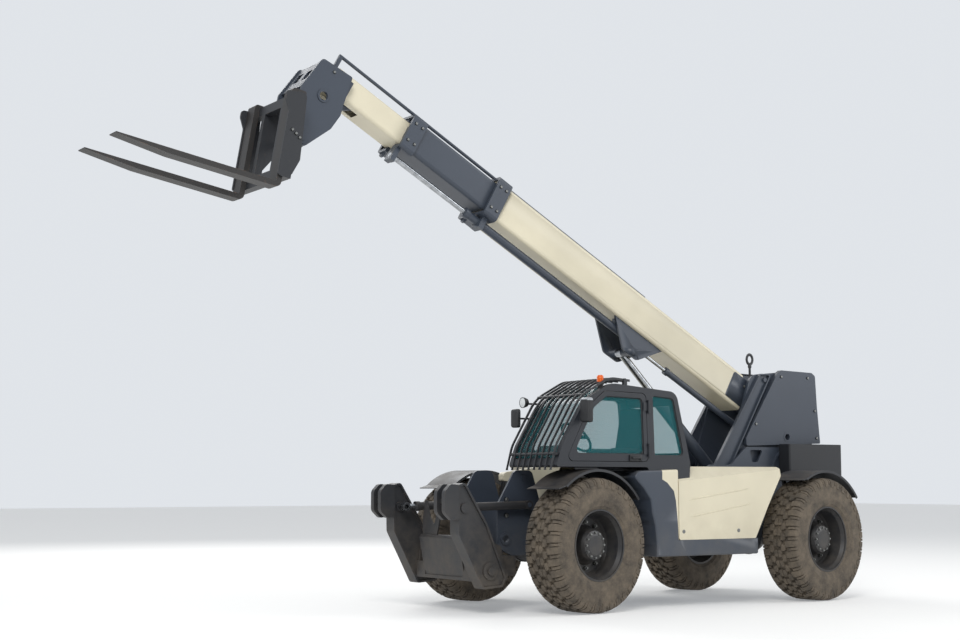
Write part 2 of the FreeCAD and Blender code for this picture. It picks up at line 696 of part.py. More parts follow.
def door_outline(inset):
    """The door's edge in side view."""
    d = inset
    return [
        (800 + d, CAB_FLOOR + 50 + d, 40.0), (820 + d, 2070 - d, 60.0),
        (1330 - d * 0.5, 2080 - d, 80.0), (1500 - d, 1950 - d * 0.5, 150.0),
        (1790 - d, CAB_FLOOR + 50 + d, 50.0),
    ]


def quarter_outline(inset):
    """The fixed window behind the door."""
    d = inset
    return [
        (350 + d, 1470 + d, 40.0), (480 + d, 2030 - d, 50.0), (740 - d, 2050 - d, 30.0),
        (720 - d, 1470 + d, 30.0),
    ]


def screen_cutter(inset):
    """Opening of the windscreen and the roof pane, seen from the side."""
    d = inset
    zone = side_plate([
        (1080 + d, 2060), (1080 + d, 2300), (2100, 2300), (2100, 1440 + d), (1780, 1440 + d),
        (1500, 1800, 60.0),
    ], CAB_IN + 60 + d, CAB_OUT - 60 - d)
    return zone


def rear_cutter(inset):
    return box(150, 600, CAB_IN + 90 + inset, CAB_OUT - 90 - inset, 1500 + inset, 1960 - inset)


def right_outline(inset):
    d = inset
    return [
        (520 + d, 1500 + d, 40.0), (560 + d, 2030 - d, 60.0), (1330 - d, 2040 - d, 80.0),
        (1680 - d, 1500 + d, 60.0),
    ]


def cab_shell():
    """Hollow cab with its door opening and windows cut, and the door's hinge pins."""
    outer = side_plate(cab_outline(0), CAB_IN, CAB_OUT)
    inner = side_plate(cab_outline(CAB_WALL), CAB_IN + CAB_WALL, CAB_OUT - CAB_WALL)
    wall_in, wall_out = CAB_OUT - CAB_WALL - 1, CAB_OUT + 1
    shell = cut(outer, [
        inner,
        side_plate(door_outline(0), wall_in, wall_out),
        side_plate(quarter_outline(0), wall_in, wall_out),
        side_plate(right_outline(0), CAB_IN - 1, CAB_IN + CAB_WALL + 1),
        screen_cutter(0),
        rear_cutter(0),
    ])
    x, y = DOOR_HINGE
    for z in DOOR_HINGES:
        pieces = [rod_z(x, y, HINGE_R, z - 22, z + HINGE_L + 22)]
        for low in (z - 22, z + HINGE_L + 2):
            pieces.append(box(x - 30, x, CAB_OUT - 1, y + 4, low, low + 20))
            pieces.append(rod_z(x, y, 2 * HINGE_R - 1, low, low + 20))
        shell = shell.fuse(pieces)
    return shell


def cab_glass():
    """Fixed panes, set in the middle of the walls."""
    mid = (CAB_WALL - GLASS_T) / 2
    skin = side_plate(cab_outline(mid), CAB_IN, CAB_OUT).cut(
        side_plate(cab_outline(mid + GLASS_T), CAB_IN - 1, CAB_OUT + 1))
    screen = skin.common(screen_cutter(SEAL))
    rear = skin.common(rear_cutter(SEAL))
    quarter = side_plate(quarter_outline(SEAL), CAB_OUT - mid - GLASS_T, CAB_OUT - mid)
    right = side_plate(right_outline(SEAL), CAB_IN + mid, CAB_IN + mid + GLASS_T)
    return loose([screen, rear, quarter, right])


def door():
    """Door frame with its window cut, hinged on the rear post."""
    gap = 5.0
    frame = side_plate(door_outline(gap), CAB_OUT - CAB_WALL, CAB_OUT)
    frame = frame.cut(door_window(0, CAB_OUT - CAB_WALL - 1, CAB_OUT + 1))
    x, y = DOOR_HINGE
    for z in DOOR_HINGES:
        leaf = box(x, x + 60, CAB_OUT + 1, CAB_OUT + 8, z, z + HINGE_L).fuse(
            box(x + 28, x + 60, CAB_OUT - 1, CAB_OUT + 2, z, z + HINGE_L))
        frame = frame.fuse([leaf, rod_z(x, y, 2 * HINGE_R, z, z + HINGE_L)])
        frame = frame.cut(rod_z(x, y, HINGE_R + RUNNING, z - 1, z + HINGE_L + 1))
    return frame


def door_window(inset, y0, y1):
    d = 50 + inset
    return side_plate([
        (800 + d, 1480 + inset, 40.0), (820 + d, 2070 - d, 40.0), (1330 - d * 0.5, 2080 - d, 60.0),
        (1500 - d, 1950 - d * 0.5, 120.0), (1745 - d, 1480 + inset, 50.0),
    ], y0, y1)


def guard_grille():
    """Falling-object guard: curved bars from the roof down the windscreen."""
    stand, depth, bar_w, count = 60.0, 22.0, 12.0, 9
    bars = []
    first, last = CAB_IN + 30.0, CAB_OUT - 30.0
    zone_points = [(1000, 2120), (1000, 2400), (2200, 2400), (2200, 1330), (1850, 1330), (1500, 1850)]
    for index in range(count):
        y = first + (last - first) * index / (count - 1)
        ring = side_plate(cab_outline(-stand), y - bar_w / 2, y + bar_w / 2).cut(
            side_plate(cab_outline(-stand + depth), y - bar_w, y + bar_w))
        bars.append(ring.common(side_plate(zone_points, y - bar_w, y + bar_w)))
    # x, z of the cross bars that tie the bars together
    for x, z in ((1060, 2192), (1560, 2035), (1895, 1480)):
        bars.append(rod_y(x, z, 14, first - 10, last + 10))
    feet = []
    for y in (first, last):
        feet.append(box(1040, 1080, y - 15, y + 15, 2130, 2192))
        feet.append(box(1820, 1895, y - 15, y + 15, 1470, 1490))
    return join(bars + feet).cut(side_plate(cab_outline(-SEAL), CAB_IN - 1, CAB_OUT + 1))


def seat():
    """Driver's seat on its pedestal."""
    middle = (CAB_IN + CAB_OUT) / 2
    y0, y1 = middle - SEAT_HALF, middle + SEAT_HALF
    floor = CAB_FLOOR + CAB_WALL
    cushion = side_plate([(640, floor + 50, 30.0), (640, floor + 140, 30.0), (1120, floor + 160, 40.0),
                          (1120, floor + 60, 30.0)], y0, y1)
    back = side_plate([(640, floor + 60, 20.0), (540, floor + 560, 30.0), (640, floor + 580, 40.0),
                       (740, floor + 110, 20.0)], y0 + 20, y1 - 20)
    pedestal = box(700, 1060, y0 + 60, y1 - 60, floor, floor + 80)
    return join([cushion, back, pedestal])


def steering_console():
    """Dashboard, steering column and wheel."""
    middle = (CAB_IN + CAB_OUT) / 2
    floor = CAB_FLOOR + CAB_WALL
    dash = side_plate([
        (1500, floor), (1500, floor + 100, 60.0), (1640, floor + 170, 40.0), (1740, floor + 100, 30.0),
        (1790, floor),
    ], middle - 200, middle + 200)
    hub = Vector(1375, middle, floor + 245)
    lean = Vector(-0.75, 0, 0.66)
    column = Part.makeCylinder(28, 220, Vector(1540, middle, floor + 100), lean)
    grip = [(170 + 13 * math.cos(a), 13 * math.sin(a)) for a in [math.pi * (2 * k + 1) / 8 for k in range(8)]]
    wheel = Part.Face(outline(grip, lambda p: Vector(p.x, 0, p.y))).revolve(
        Vector(0, 0, 0), Vector(0, 0, 1), 360)
    wheel = wheel.fuse(box(-18, 18, -170, 170, -8, 8))
    wheel.rotate(Vector(0, 0, 0), Vector(0, 1, 0), -48.6)
    wheel.translate(hub)
    return join([dash, column, wheel])


def lamps():
    """Beacon and work lamps round the cab, and the lamps on the ballast."""
    roof = side_plate(cab_outline(-SEAL), CAB_IN, CAB_OUT)
    beacon = join([rod_z(1320, CAB_OUT - 75, 37, 2140, 2232), rod_z(1320, CAB_OUT - 75, 28, 2090, 2141)])
    pieces = [beacon.cut(roof)]
    lamp_x = 1740.0
    shell = Part.makeCone(52, 40, 62, Vector(lamp_x, CAB_IN + 5, 1985), Vector(-1, 0, 0))
    arm = box(lamp_x - 250, lamp_x - 50, CAB_IN - 20, CAB_IN - SEAL, 1966, 1984)
    pieces.append(join([shell, arm]))
    for side in (LEFT, RIGHT):
        low, high = sorted((side * (BALLAST_HALF - 210), side * (BALLAST_HALF - 80)))
        pieces.append(box(REAR_X + 32, REAR_X + 60 - SEAL, low, high, 1400, 1480))
    return loose(pieces)


def mirrors():
    """Rear-view mirrors on the cab's front posts, their shells rounded."""
    near = front_plate([(CAB_OUT + 25, 1770, 30.0), (CAB_OUT + 160, 1770, 30.0), (CAB_OUT + 160, 2000, 30.0),
                        (CAB_OUT + 25, 2000, 30.0)], 1590, 1645)
    near_arm = box(1560, 1592, CAB_OUT + SEAL, CAB_OUT + 60, 1870, 1890)
    far = front_plate([(CAB_IN - 52, 1740, 30.0), (CAB_IN + 60, 1740, 30.0), (CAB_IN + 60, 1920, 30.0),
                       (CAB_IN - 52, 1920, 30.0)], 1800, 1845)
    far_arm = box(1580, 1802, CAB_IN - 25, CAB_IN - SEAL, 1820, 1840)
    return loose([join([near, near_arm]), join([far, far_arm])])


# Boom

def section_tube(s0, s1, half, low, top, wall):
    """Box section with rounded corners, open at both ends."""
    r = 35.0
    outer = front_plate([(-half, low, r), (half, low, r), (half, top, r), (-half, top, r)], s0, s1)
    half, low, top, r = half - wall, low + wall, top - wall, r - wall
    inner = front_plate([(-half, low, r), (half, low, r), (half, top, r), (-half, top, r)], s0 - 1, s1 + 1)
    return outer.cut(inner)


def pads(s0, s1, half, low, top, gap, outward):
    """Wear pads on all four sides of a section: half, low and top are its faces."""
    sign = 1.0 if outward else -1.0
    depth = (gap - PAD_CLEAR) * sign
    width = half - 70
    mid = (low + top) / 2
    tall = (top - low) / 2 - 60
    found = []
    for z_face, way in ((top, 1.0), (low, -1.0)):
        z0, z1 = sorted((z_face, z_face + way * depth))
        found.append(box(s0, s1, -width, width, z0, z1))
    for side in (LEFT, RIGHT):
        y0, y1 = sorted((side * half, side * (half + depth)))
        found.append(box(s0, s1, y0, y1, mid - tall, mid + tall))
    return found


def collar(s1, half, low, top, wall):
    """Stiffening frame at a section's front end."""
    t = COLLAR_T
    outer = front_plate([(-half - t, low - t, 40.0), (half + t, low - t, 40.0),
                         (half + t, top + t, 40.0), (-half - t, top + t, 40.0)], s1 - COLLAR_L, s1)
    inner = box(s1 - COLLAR_L - 1, s1 + 1, -half, half, low, top)
    return outer.cut(inner)


MID_HALF = BASE_HALF - BASE_WALL - PAD_GAP
MID_LOW = BASE_LOW + BASE_WALL + PAD_GAP
MID_TOP = BASE_TOP - BASE_WALL - PAD_GAP


def boom_base():
    """Main section: box tube, rear arms with the pin's bosses and cylinder brackets."""
    tube = section_tube(BASE_REAR, BASE_END, BASE_HALF, BASE_LOW, BASE_TOP, BASE_WALL)
    slant = side_plate([(BASE_REAR - 1, BASE_LOW - 5), (BASE_REAR - 1, BASE_TOP + 5),
                        (BASE_REAR + 135, BASE_TOP + 5), (BASE_REAR, BASE_LOW - 5)], -300, 300)
    inner = [BASE_HALF - BASE_WALL, BASE_LOW + BASE_WALL, BASE_TOP - BASE_WALL]
    front = pads(BASE_END - 160, BASE_END, inner[0], inner[1], inner[2], PAD_GAP, False)
    arm = side_plate([
        (-60, -100, 50.0), (-105, 30, 90.0), (0, 125, 90.0), (420, BASE_TOP - 40, 200.0),
        (BASE_REAR + 260, BASE_TOP - 40, 20.0), (BASE_REAR + 260, BASE_LOW + 40, 20.0),
        (420, BASE_LOW + 30, 200.0), (120, -120, 150.0),
    ], BASE_HALF - BASE_WALL, BASE_HALF + 12)
    boss = rod_y(0, 0, 105, BASE_HALF - 20, BASE_HALF + 50)
    bore = rod_y(0, 0, BOOM_PIN_R + RUNNING, -BASE_HALF - 60, BASE_HALF + 60)
    spreader = front_plate([(-BASE_HALF + 2, -60), (BASE_HALF - 2, -60), (BASE_HALF - 2, 60),
                            (-BASE_HALF + 2, 60)], 330, 350)
    low = BASE_LOW + 1
    lift_s, lift_t = LIFT_EYE
    ear = side_plate([(lift_s - 330, low), (lift_s + 380, low), (lift_s + 120, lift_t - 55, 60.0),
                      (lift_s - 90, lift_t - 55, 60.0)], GUSSET_Y, GUSSET_Y + 22)
    eye_half = LIFT_ROD_R + 3 + 1
    stubs = [rod_y(lift_s, lift_t, LIFT_PIN_R, y0, y1) for y0, y1 in (
        (LIFT_Y + eye_half, GUSSET_Y + 30), (-GUSSET_Y - 30, LIFT_Y - eye_half))]
    comp_s, comp_t = COMP_EYE
    comp_ear = side_plate([(comp_s - 90, low), (comp_s + 110, low), (comp_s + 35, comp_t - 35, 30.0),
                           (comp_s - 35, comp_t - 35, 30.0)], COMP_Y - 38, COMP_Y - 26)
    comp_stub = rod_y(comp_s, comp_t, COMP_PIN_R, COMP_Y + 25, GUSSET_Y + 1)
    pieces = [tube.cut(slant), spreader, comp_ear, comp_stub] + both(arm) + both(boss) + front + both(ear) + stubs
    return cut(join(pieces), [bore])


def lug_ears(s0, s1, low):
    """Rounded bolting lugs that stand out under a collar's lower edge."""
    found = []
    for y in (-150, 150):
        found.append(front_plate([(y - 40, low + 2), (y + 40, low + 2), (y + 22, low - 34, 14.0),
                                  (y - 22, low - 34, 14.0)], s0, s1))
    return found


def base_collar():
    """Dark collar on the main section's front end, with the guide lug below."""
    end = BASE_END + 20
    frame = collar(end, BASE_HALF + 0.3, BASE_LOW - 0.3, BASE_TOP + 0.3, BASE_WALL)
    low = BASE_LOW - COLLAR_T
    lug = box(end - 110, end - 50, EXT_Y - 70, EXT_Y + 70, EXT_T - 65, low + 2)
    ears = [lug_ears(end - 40, end - 15, low)[0]]
    hole = Part.makeCylinder(EXT_R + 0.3, COLLAR_L + 40, Vector(end - COLLAR_L - 20, EXT_Y, EXT_T), Vector(1, 0, 0))
    return join([frame, lug] + ears).cut(hole)


def extension_barrel():
    """Outside cylinder that pushes the middle section out."""
    ahead = Vector(1, 0, 0)
    tube = Part.makeCylinder(EXT_R, EXT_END - EXT_START, Vector(EXT_START, EXT_Y, EXT_T), ahead)
    gland = Part.makeCylinder(EXT_R + 9, 50, Vector(EXT_END - 55, EXT_Y, EXT_T), ahead)
    bore = Part.makeCylinder(EXT_ROD_R + ROD_CLEAR, EXT_END - EXT_START,
                             Vector(EXT_START + 60, EXT_Y, EXT_T), ahead)
    low = BASE_LOW - 0.3
    foot = side_plate([(EXT_START, EXT_T - 20), (EXT_START, low), (EXT_START + 180, low),
                       (EXT_START + 120, EXT_T)], EXT_Y - 30, EXT_Y + 30)
    return join([tube, gland, foot]).cut(bore)


def boom_mid():
    """Middle section with its collar and the lug that the outside rod pulls."""
    tube = section_tube(MID_REAR, MID_END, MID_HALF, MID_LOW, MID_TOP, MID_WALL)
    rear = pads(MID_REAR, MID_REAR + 160, MID_HALF, MID_LOW, MID_TOP, PAD_GAP, True)
    inner_half, inner_low, inner_top = MID_HALF - MID_WALL, MID_LOW + MID_WALL, MID_TOP - MID_WALL
    front = [
        box(MID_END - 160, MID_END, -90, 90, FLY_TOP + PAD_CLEAR, inner_top),
        box(MID_END - 160, MID_END, -90, 90, inner_low, FLY_LOW - PAD_CLEAR),
    ]
    for side in (LEFT, RIGHT):
        y0, y1 = sorted((side * (FLY_HALF + PAD_CLEAR), side * inner_half))
        front.append(box(MID_END - 160, MID_END, y0, y1, FLY_LOW + 60, FLY_TOP - 60))
    end = MID_END + 10
    frame = collar(end, MID_HALF, MID_LOW, MID_TOP, MID_WALL)
    lug = box(end - 50, end, EXT_Y - 60, EXT_Y + 60, EXT_T - 60, MID_LOW - 10)
    ears = [lug_ears(end - 40, end - 15, MID_LOW - COLLAR_T)[0]]
    hole = Part.makeCylinder(EXT_ROD_R, 200, Vector(end - 150, EXT_Y, EXT_T), Vector(1, 0, 0))
    mouth = box(MID_END - 40, end + 1, -TILT_R - 15, TILT_R + 15, MID_LOW - COLLAR_T - 1, FLY_LOW)
    return join([tube, frame, lug] + rear + front + ears).cut(hole).cut(mouth)


def extension_rod():
    """Rod of the outside cylinder, fast in the middle section's lug."""
    length = MID_END + 10 - EXT_ROD_START
    return Part.makeCylinder(EXT_ROD_R, length, Vector(EXT_ROD_START, EXT_Y, EXT_T), Vector(1, 0, 0))


def boom_fly():
    """Inner section, slotted below for the tilt cylinder."""
    tube = section_tube(FLY_REAR, FLY_END, FLY_HALF, FLY_LOW, FLY_TOP, FLY_WALL)
    slot = box(6010, FLY_END + 1, -62, 62, FLY_LOW - 1, FLY_LOW + FLY_WALL + 1)
    gap_top = (MID_TOP - MID_WALL) - FLY_TOP
    gap_low = FLY_LOW - (MID_LOW + MID_WALL)
    gap_side = (MID_HALF - MID_WALL) - FLY_HALF
    rear = [
        box(FLY_REAR, FLY_REAR + 160, -90, 90, FLY_TOP, FLY_TOP + gap_top - PAD_CLEAR),
        box(FLY_REAR, FLY_REAR + 160, -90, 90, FLY_LOW - gap_low + PAD_CLEAR, FLY_LOW),
    ]
    for side in (LEFT, RIGHT):
        y0, y1 = sorted((side * FLY_HALF, side * (FLY_HALF + gap_side - PAD_CLEAR)))
        rear.append(box(FLY_REAR, FLY_REAR + 160, y0, y1, FLY_LOW + 60, FLY_TOP - 60))
    pin = rod_y(TILT_FOOT[0], TILT_FOOT[1], 20, -FLY_HALF + 4, FLY_HALF - 4)
    return cut(join([tube] + rear), [slot]).fuse(pin)


def boom_head():
    """Dropped head: two big cheek plates welded to the inner section's end."""
    end, inner_y = FLY_END, HEAD_HALF - HEAD_T
    eye_s, eye_t = end + 50, -317
    cheek = side_plate([
        (end - 110, 20, 20.0), (end + 230, -10, 40.0), (end + 280, -360, 60.0), (end + 255, -440, 40.0),
        (CARRIAGE_S + 60, CARRIAGE_T - 70, 70.0), (CARRIAGE_S - 60, CARRIAGE_T - 70, 60.0),
        (end - 165, -540, 80.0), (end - 185, -370, 30.0), (end - 165, -290, 30.0),
    ], inner_y, HEAD_HALF)
    cheek = cheek.fuse(rod_y(eye_s, eye_t, 62, HEAD_HALF, HEAD_HALF + 8))
    cheek = cheek.fuse(rod_y(CARRIAGE_S, CARRIAGE_T, 62, HEAD_HALF, HEAD_HALF + 12))
    cheek = cheek.cut(rod_y(eye_s, eye_t, 42, inner_y - 1, HEAD_HALF + 9))
    spacer = box(end - 155, end, FLY_HALF + 0.3, inner_y + 1, FLY_LOW + 10, -10)
    lid = box(end - 80, end + 160, -inner_y - 1, inner_y + 1, FLY_TOP - 85, FLY_TOP - 73).cut(
        box(end - 400, end + 0.3, -FLY_HALF - 0.3, FLY_HALF + 0.3, -400, FLY_TOP + 1))
    front = side_plate([(end + 200, -25), (end + 214, -22), (end + 262, -345), (end + 248, -348)],
                       -inner_y - 1, inner_y + 1)
    slots = [box(end + 190, end + 280, y - 55, y + 55, -235, -115) for y in (-95, 95)]
    rail_t = BASE_TOP + COLLAR_T + 26
    rail = Part.makeCylinder(16, 4200, Vector(end - 4150, 60, rail_t), Vector(1, 0, 0))
    foot = box(end + 10, end + 50, 45, 75, FLY_TOP - 80, rail_t)
    pin = rod_y(CARRIAGE_S, CARRIAGE_T, HEAD_PIN_R, -HEAD_HALF - 20, HEAD_HALF + 20)
    return join(both(cheek) + both(spacer) + [lid, cut(front, slots), pin, rail, foot])


# Carriage, drawn at level forks from the head's pin

def carriage():
    """Fork frame with ears round the head's pin and for the tilt rod."""
    back, front = RAIL_BACK, RAIL_FRONT
    half = CARRIAGE_HALF
    rails = [box(back, front, -half, half, -480, -370), box(back, front, -half, half, RAIL_TOP - 90, RAIL_TOP)]
    posts = [box(back, front, y - 30, y + 30, -480, RAIL_TOP) for y in (-190, 190)]
    end_plate = side_plate([
        (back - 60, -290, 40.0), (back - 5, -440, 40.0), (front, -485, 10.0), (front + 60, -470, 20.0),
        (front + 60, 130, 60.0), (front + 110, 230, 40.0), (front + 110, 300, 30.0),
        (back - 20, RAIL_TOP + 5, 40.0),
    ], half - 22, half)
    ears = []
    eye_u, eye_v = TILT_EYE
    ear = side_plate([(-60, -60, 50.0), (-60, 60, 50.0), (-10, eye_v + 50, 30.0), (eye_u + 60, eye_v + 55, 40.0),
                      (back + 1, eye_v - 10), (back + 1, -300), (60, -160, 40.0)], 165, 200)
    bosses = rod_y(eye_u, eye_v, 38, 36, 166)
    pieces = rails + posts + both(end_plate) + both(ear) + both(bosses)
    return join(pieces).cut(rod_y(0, 0, HEAD_PIN_R + RUNNING, -300, 300))


def forks():
    """Two fork tines, each hooked over the carriage's top rail."""
    face_u = RAIL_FRONT + SEAL
    back_u, hook_v = RAIL_BACK - SEAL, RAIL_TOP + SEAL
    shank_u = face_u + FORK_T
    tip = shank_u + FORK_LENGTH
    tine = side_plate([
        (face_u, -470, 0), (face_u, hook_v, 0), (back_u, hook_v, 0), (back_u, hook_v - 40, 0),
        (back_u - 22, hook_v - 40, 6.0), (back_u - 22, hook_v + 28, 20.0), (shank_u, hook_v + 28, 30.0),
        (shank_u, -527, 12.0), (tip, -527, 4.0), (tip, -537, 4.0), (tip - 500, -577, 60.0),
        (face_u, -577, 50.0),
    ], FORK_Y - FORK_W / 2, FORK_Y + FORK_W / 2)
    return loose(both(tine))


# Stabilisers

def stabiliser_frame():
    """Front cross box that ties both stabiliser legs to the chassis."""
    half = LEG_Y - LEG_T / 2 - 8
    beam_half = CHEEK_Y + CHEEK_T + 10
    beam = box(NOSE_X - 200, NOSE_X + 60, -beam_half, beam_half, 330, CHASSIS_LOW - SEAL)
    deck = box(NOSE_X + 20, 2440, -half, half, 300, 331)
    pieces = [beam, deck]
    bracket = side_plate([(NOSE_X - 20, 300, 20.0), (NOSE_X - 20, 360, 30.0), (NOSE_X + 50, 520, 40.0),
                          (NOSE_X + 50, 620, 40.0), (2390, 700, 20.0), (2440, 300, 30.0)], half - 25, half)
    pin = rod_y(LEG_PIVOT[0], LEG_PIVOT[1], LEG_PIN_R, half - 20, LEG_Y + LEG_T / 2 + 22)
    outer_low = box(2415, 2440, beam_half - 30, half, 300, 455)
    pieces += both(bracket) + both(pin) + both(outer_low)
    pieces.append(side_plate([(2400, 300, 0), (2425, 300, 0), (2500, 690, 10.0), (2480, 715, 8.0),
                              (2390, 715, 8.0), (2390, 700, 0), (2468, 700, 0)],
                             -beam_half + 15, beam_half - 15))
    # y from, y to of the upright ribs behind the front plate
    for y0, y1 in ((-350, -338), (-190, -178), (178, 190), (338, 350)):
        pieces.append(side_plate([(NOSE_X + 30, 331), (NOSE_X + 30, 460, 30.0), (2380, 650, 20.0),
                                  (2478, 690), (2410, 331)], y0, y1))
    fork = front_plate([(-345, 700), (-345, 860, 30.0), (-300, 1040, 14.0), (-265, 1040, 14.0),
                        (-215, 880, 40.0), (-130, 790, 30.0), (-60, 1040, 14.0), (-25, 1040, 14.0),
                        (-40, 850, 30.0), (-90, 700)], 2450, 2465)
    pieces.append(fork)
    return join(pieces)


def stabiliser_leg(side):
    """Leaning leg with recessed flanks and its foot pad folded up in front."""
    y0, y1 = LEG_Y - LEG_T / 2, LEG_Y + LEG_T / 2
    profile = [
        (2700, 1190, 30.0), (2620, 1215, 40.0), (2375, 830, 60.0), (2165, 335, 40.0),
        (2205, 250, 30.0), (2420, 235, 30.0), (2690, 740, 60.0),
    ]
    pivot_x, pivot_z = LEG_PIVOT
    plate = side_plate(profile, y0, y1)
    for low, high in ((y0 - 1, y0 + 18), (y1 - 18, y1 + 1)):
        pocket = side_plate(shrunk(profile, 20), low, high)
        plate = plate.cut(cut(pocket, [rod_y(pivot_x, pivot_z, 80, low, high),
                                       rod_y(LEG_CYL_EYE[0], LEG_CYL_EYE[1], 45, low, high)]))
    pieces = [plate, box(2680, 2703, y0, y1, 900, 1170)]
    for low in (y0 - 20, y1 - 35):
        pieces.append(side_plate([(2700, 880, 10.0), (2700, 1190, 10.0), (2790, 1200, 40.0), (2856, 1130, 60.0),
                                  (2856, 940, 60.0), (2780, 870, 30.0)], low, low + 55))
    pieces.append(box(2702, 2722, y0 + 10, y1 - 10, 900, 1170))
    pieces.append(rod_y(2800, 1040, 24, y0 + 10, y1 - 10))
    pieces.append(rod_y(LEG_CYL_EYE[0], LEG_CYL_EYE[1], 20, LEG_CYL_Y + 35, y0 + 20))
    shape = join(pieces).cut(rod_y(pivot_x, pivot_z, LEG_PIN_R + RUNNING, y0 - 1, y1 + 1))
    return shape if side > 0 else mirrored(shape)


def build_cylinders():
    """Export barrels and rods of the swinging cylinders."""
    comp_end = boom_point(*COMP_EYE)
    lift_end = boom_point(*LIFT_EYE)
    tilt_start = boom_point(*TILT_FOOT)
    turn = math.radians(FORK_TILT)
    pin_x, pin_z = boom_point(CARRIAGE_S, CARRIAGE_T)
    tilt_end = (pin_x + TILT_EYE[0] * math.cos(turn) - TILT_EYE[1] * math.sin(turn),
                pin_z + TILT_EYE[0] * math.sin(turn) + TILT_EYE[1] * math.cos(turn))
    rows = [
        # name, start, end, y, barrel r, rod r, barrel length, rod start, foot eye r, rod eye r, foot pin r, rod pin r
        ("lift", LIFT_FOOT, lift_end, LIFT_Y, LIFT_R, LIFT_ROD_R, 1500.0, 630.0, 62.0, LIFT_PIN_R, LIFT_FOOT_R, 24.0),
        ("comp", COMP_FOOT, comp_end, COMP_Y, COMP_R, COMP_ROD_R, 1600.0, 900.0, 40.0, COMP_PIN_R, COMP_FOOT_R, 15.0),
        ("tilt", tilt_start, tilt_end, 0.0, TILT_R, TILT_ROD_R, 620.0, 150.0, 45.0, 45.0, 20.0, 20.0),
        ("leg_l", LEG_CYL_FOOT, LEG_CYL_EYE, LEG_CYL_Y, LEG_CYL_R, 25.0, 760.0, 130.0, 42.0, 42.0, LEG_FOOT_R, 22.0),
    ]
    for name, start, end, y, r_barrel, r_rod, length, rod_start, foot_eye, rod_eye, foot_r, pin_r in rows:
        span = math.hypot(end[0] - start[0], end[1] - start[1])
        tube = barrel(r_barrel, r_rod, length, y, foot_eye, 60.0)
        tube = tube.cut(rod_y(0, 0, foot_r + RUNNING, y - 100, y + 100))
        shaft = piston_rod(r_rod, rod_start, span, y, rod_eye, 2 * r_rod + 6, pin_r)
        tube, shaft = along(tube, start, end), along(shaft, start, end)
        export(name + "_barrel", tube)
        export(name + "_rod", shaft)
        if name == "leg_l":
            export("leg_r_barrel", mirrored(tube))
            export("leg_r_rod", mirrored(shaft))


def build():
    os.makedirs("parts", exist_ok=True)
    front, rear = AXLE_X, -AXLE_X
    tyre_shape = tyre()
    for x, side, name in ((front, LEFT, "fl"), (front, RIGHT, "fr"),
                          (rear, LEFT, "rl"), (rear, RIGHT, "rr")):
        wheel_station(x, side, name, tyre_shape)
    for x, name in ((front, "axle_front"), (rear, "axle_rear")):
        shape = axle()
        shape.translate(Vector(x, 0, TYRE_R))
        export(name, shape)
    for name, make in (
            ("chassis", chassis), ("tower", tower), ("counterweight", counterweight),
            ("body_left", left_body), ("panel_left", left_panel), ("hood", hood),
            ("engine_bay", engine_bay), ("engine", engine), ("cab", cab_shell),
            ("cab_glass", cab_glass), ("door", door), ("guard_grille", guard_grille),
            ("seat", seat), ("console", steering_console), ("lamps", lamps),
            ("mirrors", mirrors), ("stabiliser_frame", stabiliser_frame)):
        export(name, make())
    mid = (CAB_WALL - GLASS_T) / 2
    export("door_glass", door_window(SEAL, CAB_OUT - mid - GLASS_T, CAB_OUT - mid))
    for name, make in (
            ("boom_base", boom_base), ("base_collar", base_collar),
            ("extension_barrel", extension_barrel), ("boom_mid", boom_mid),
            ("extension_rod", extension_rod), ("boom_fly", boom_fly),
            ("boom_head", boom_head)):
        export(name, on_boom(make()))
    export("carriage", on_carriage(carriage()))
    export("forks", on_carriage(forks()))
    export("leg_l", stabiliser_leg(LEFT))
    export("leg_r", stabiliser_leg(RIGHT))
    build_cylinders()


build()
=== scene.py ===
# %% [markdown]
# # A telescopic handler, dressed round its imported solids
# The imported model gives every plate, tube and pin in metres. This script leaves those solids where
# they are, adds what is too fine for them, and paints each one as the metal, rubber or glass it is.

# %% Load the frame
import math

import bmesh
import bpy
from mathutils import Matrix, Vector


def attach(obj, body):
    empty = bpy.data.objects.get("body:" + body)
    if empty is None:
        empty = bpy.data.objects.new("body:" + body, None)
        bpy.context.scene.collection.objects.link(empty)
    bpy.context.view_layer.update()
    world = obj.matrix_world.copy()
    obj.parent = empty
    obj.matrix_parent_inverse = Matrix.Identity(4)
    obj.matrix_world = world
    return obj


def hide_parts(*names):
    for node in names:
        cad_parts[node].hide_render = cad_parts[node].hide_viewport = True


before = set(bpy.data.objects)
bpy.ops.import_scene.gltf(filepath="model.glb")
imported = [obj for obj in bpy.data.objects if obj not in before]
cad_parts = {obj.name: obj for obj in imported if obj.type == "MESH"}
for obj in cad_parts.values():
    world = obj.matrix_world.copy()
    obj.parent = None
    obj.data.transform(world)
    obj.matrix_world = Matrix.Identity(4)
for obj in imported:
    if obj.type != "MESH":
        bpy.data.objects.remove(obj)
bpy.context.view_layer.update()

# %% [markdown]
# ## Camera
# The photograph was taken from knee height beyond the fork tips, with a lens a little longer than
# normal. The camera stands where the photographer stood.

# %% Camera
MIDDLE_X = 1.7395  # the wheelbase's middle lies this far behind the row's origin


def row(x, y, z):
    """A point measured from the wheelbase's middle, in the row frame."""
    return Vector((x - MIDDLE_X, y, z))


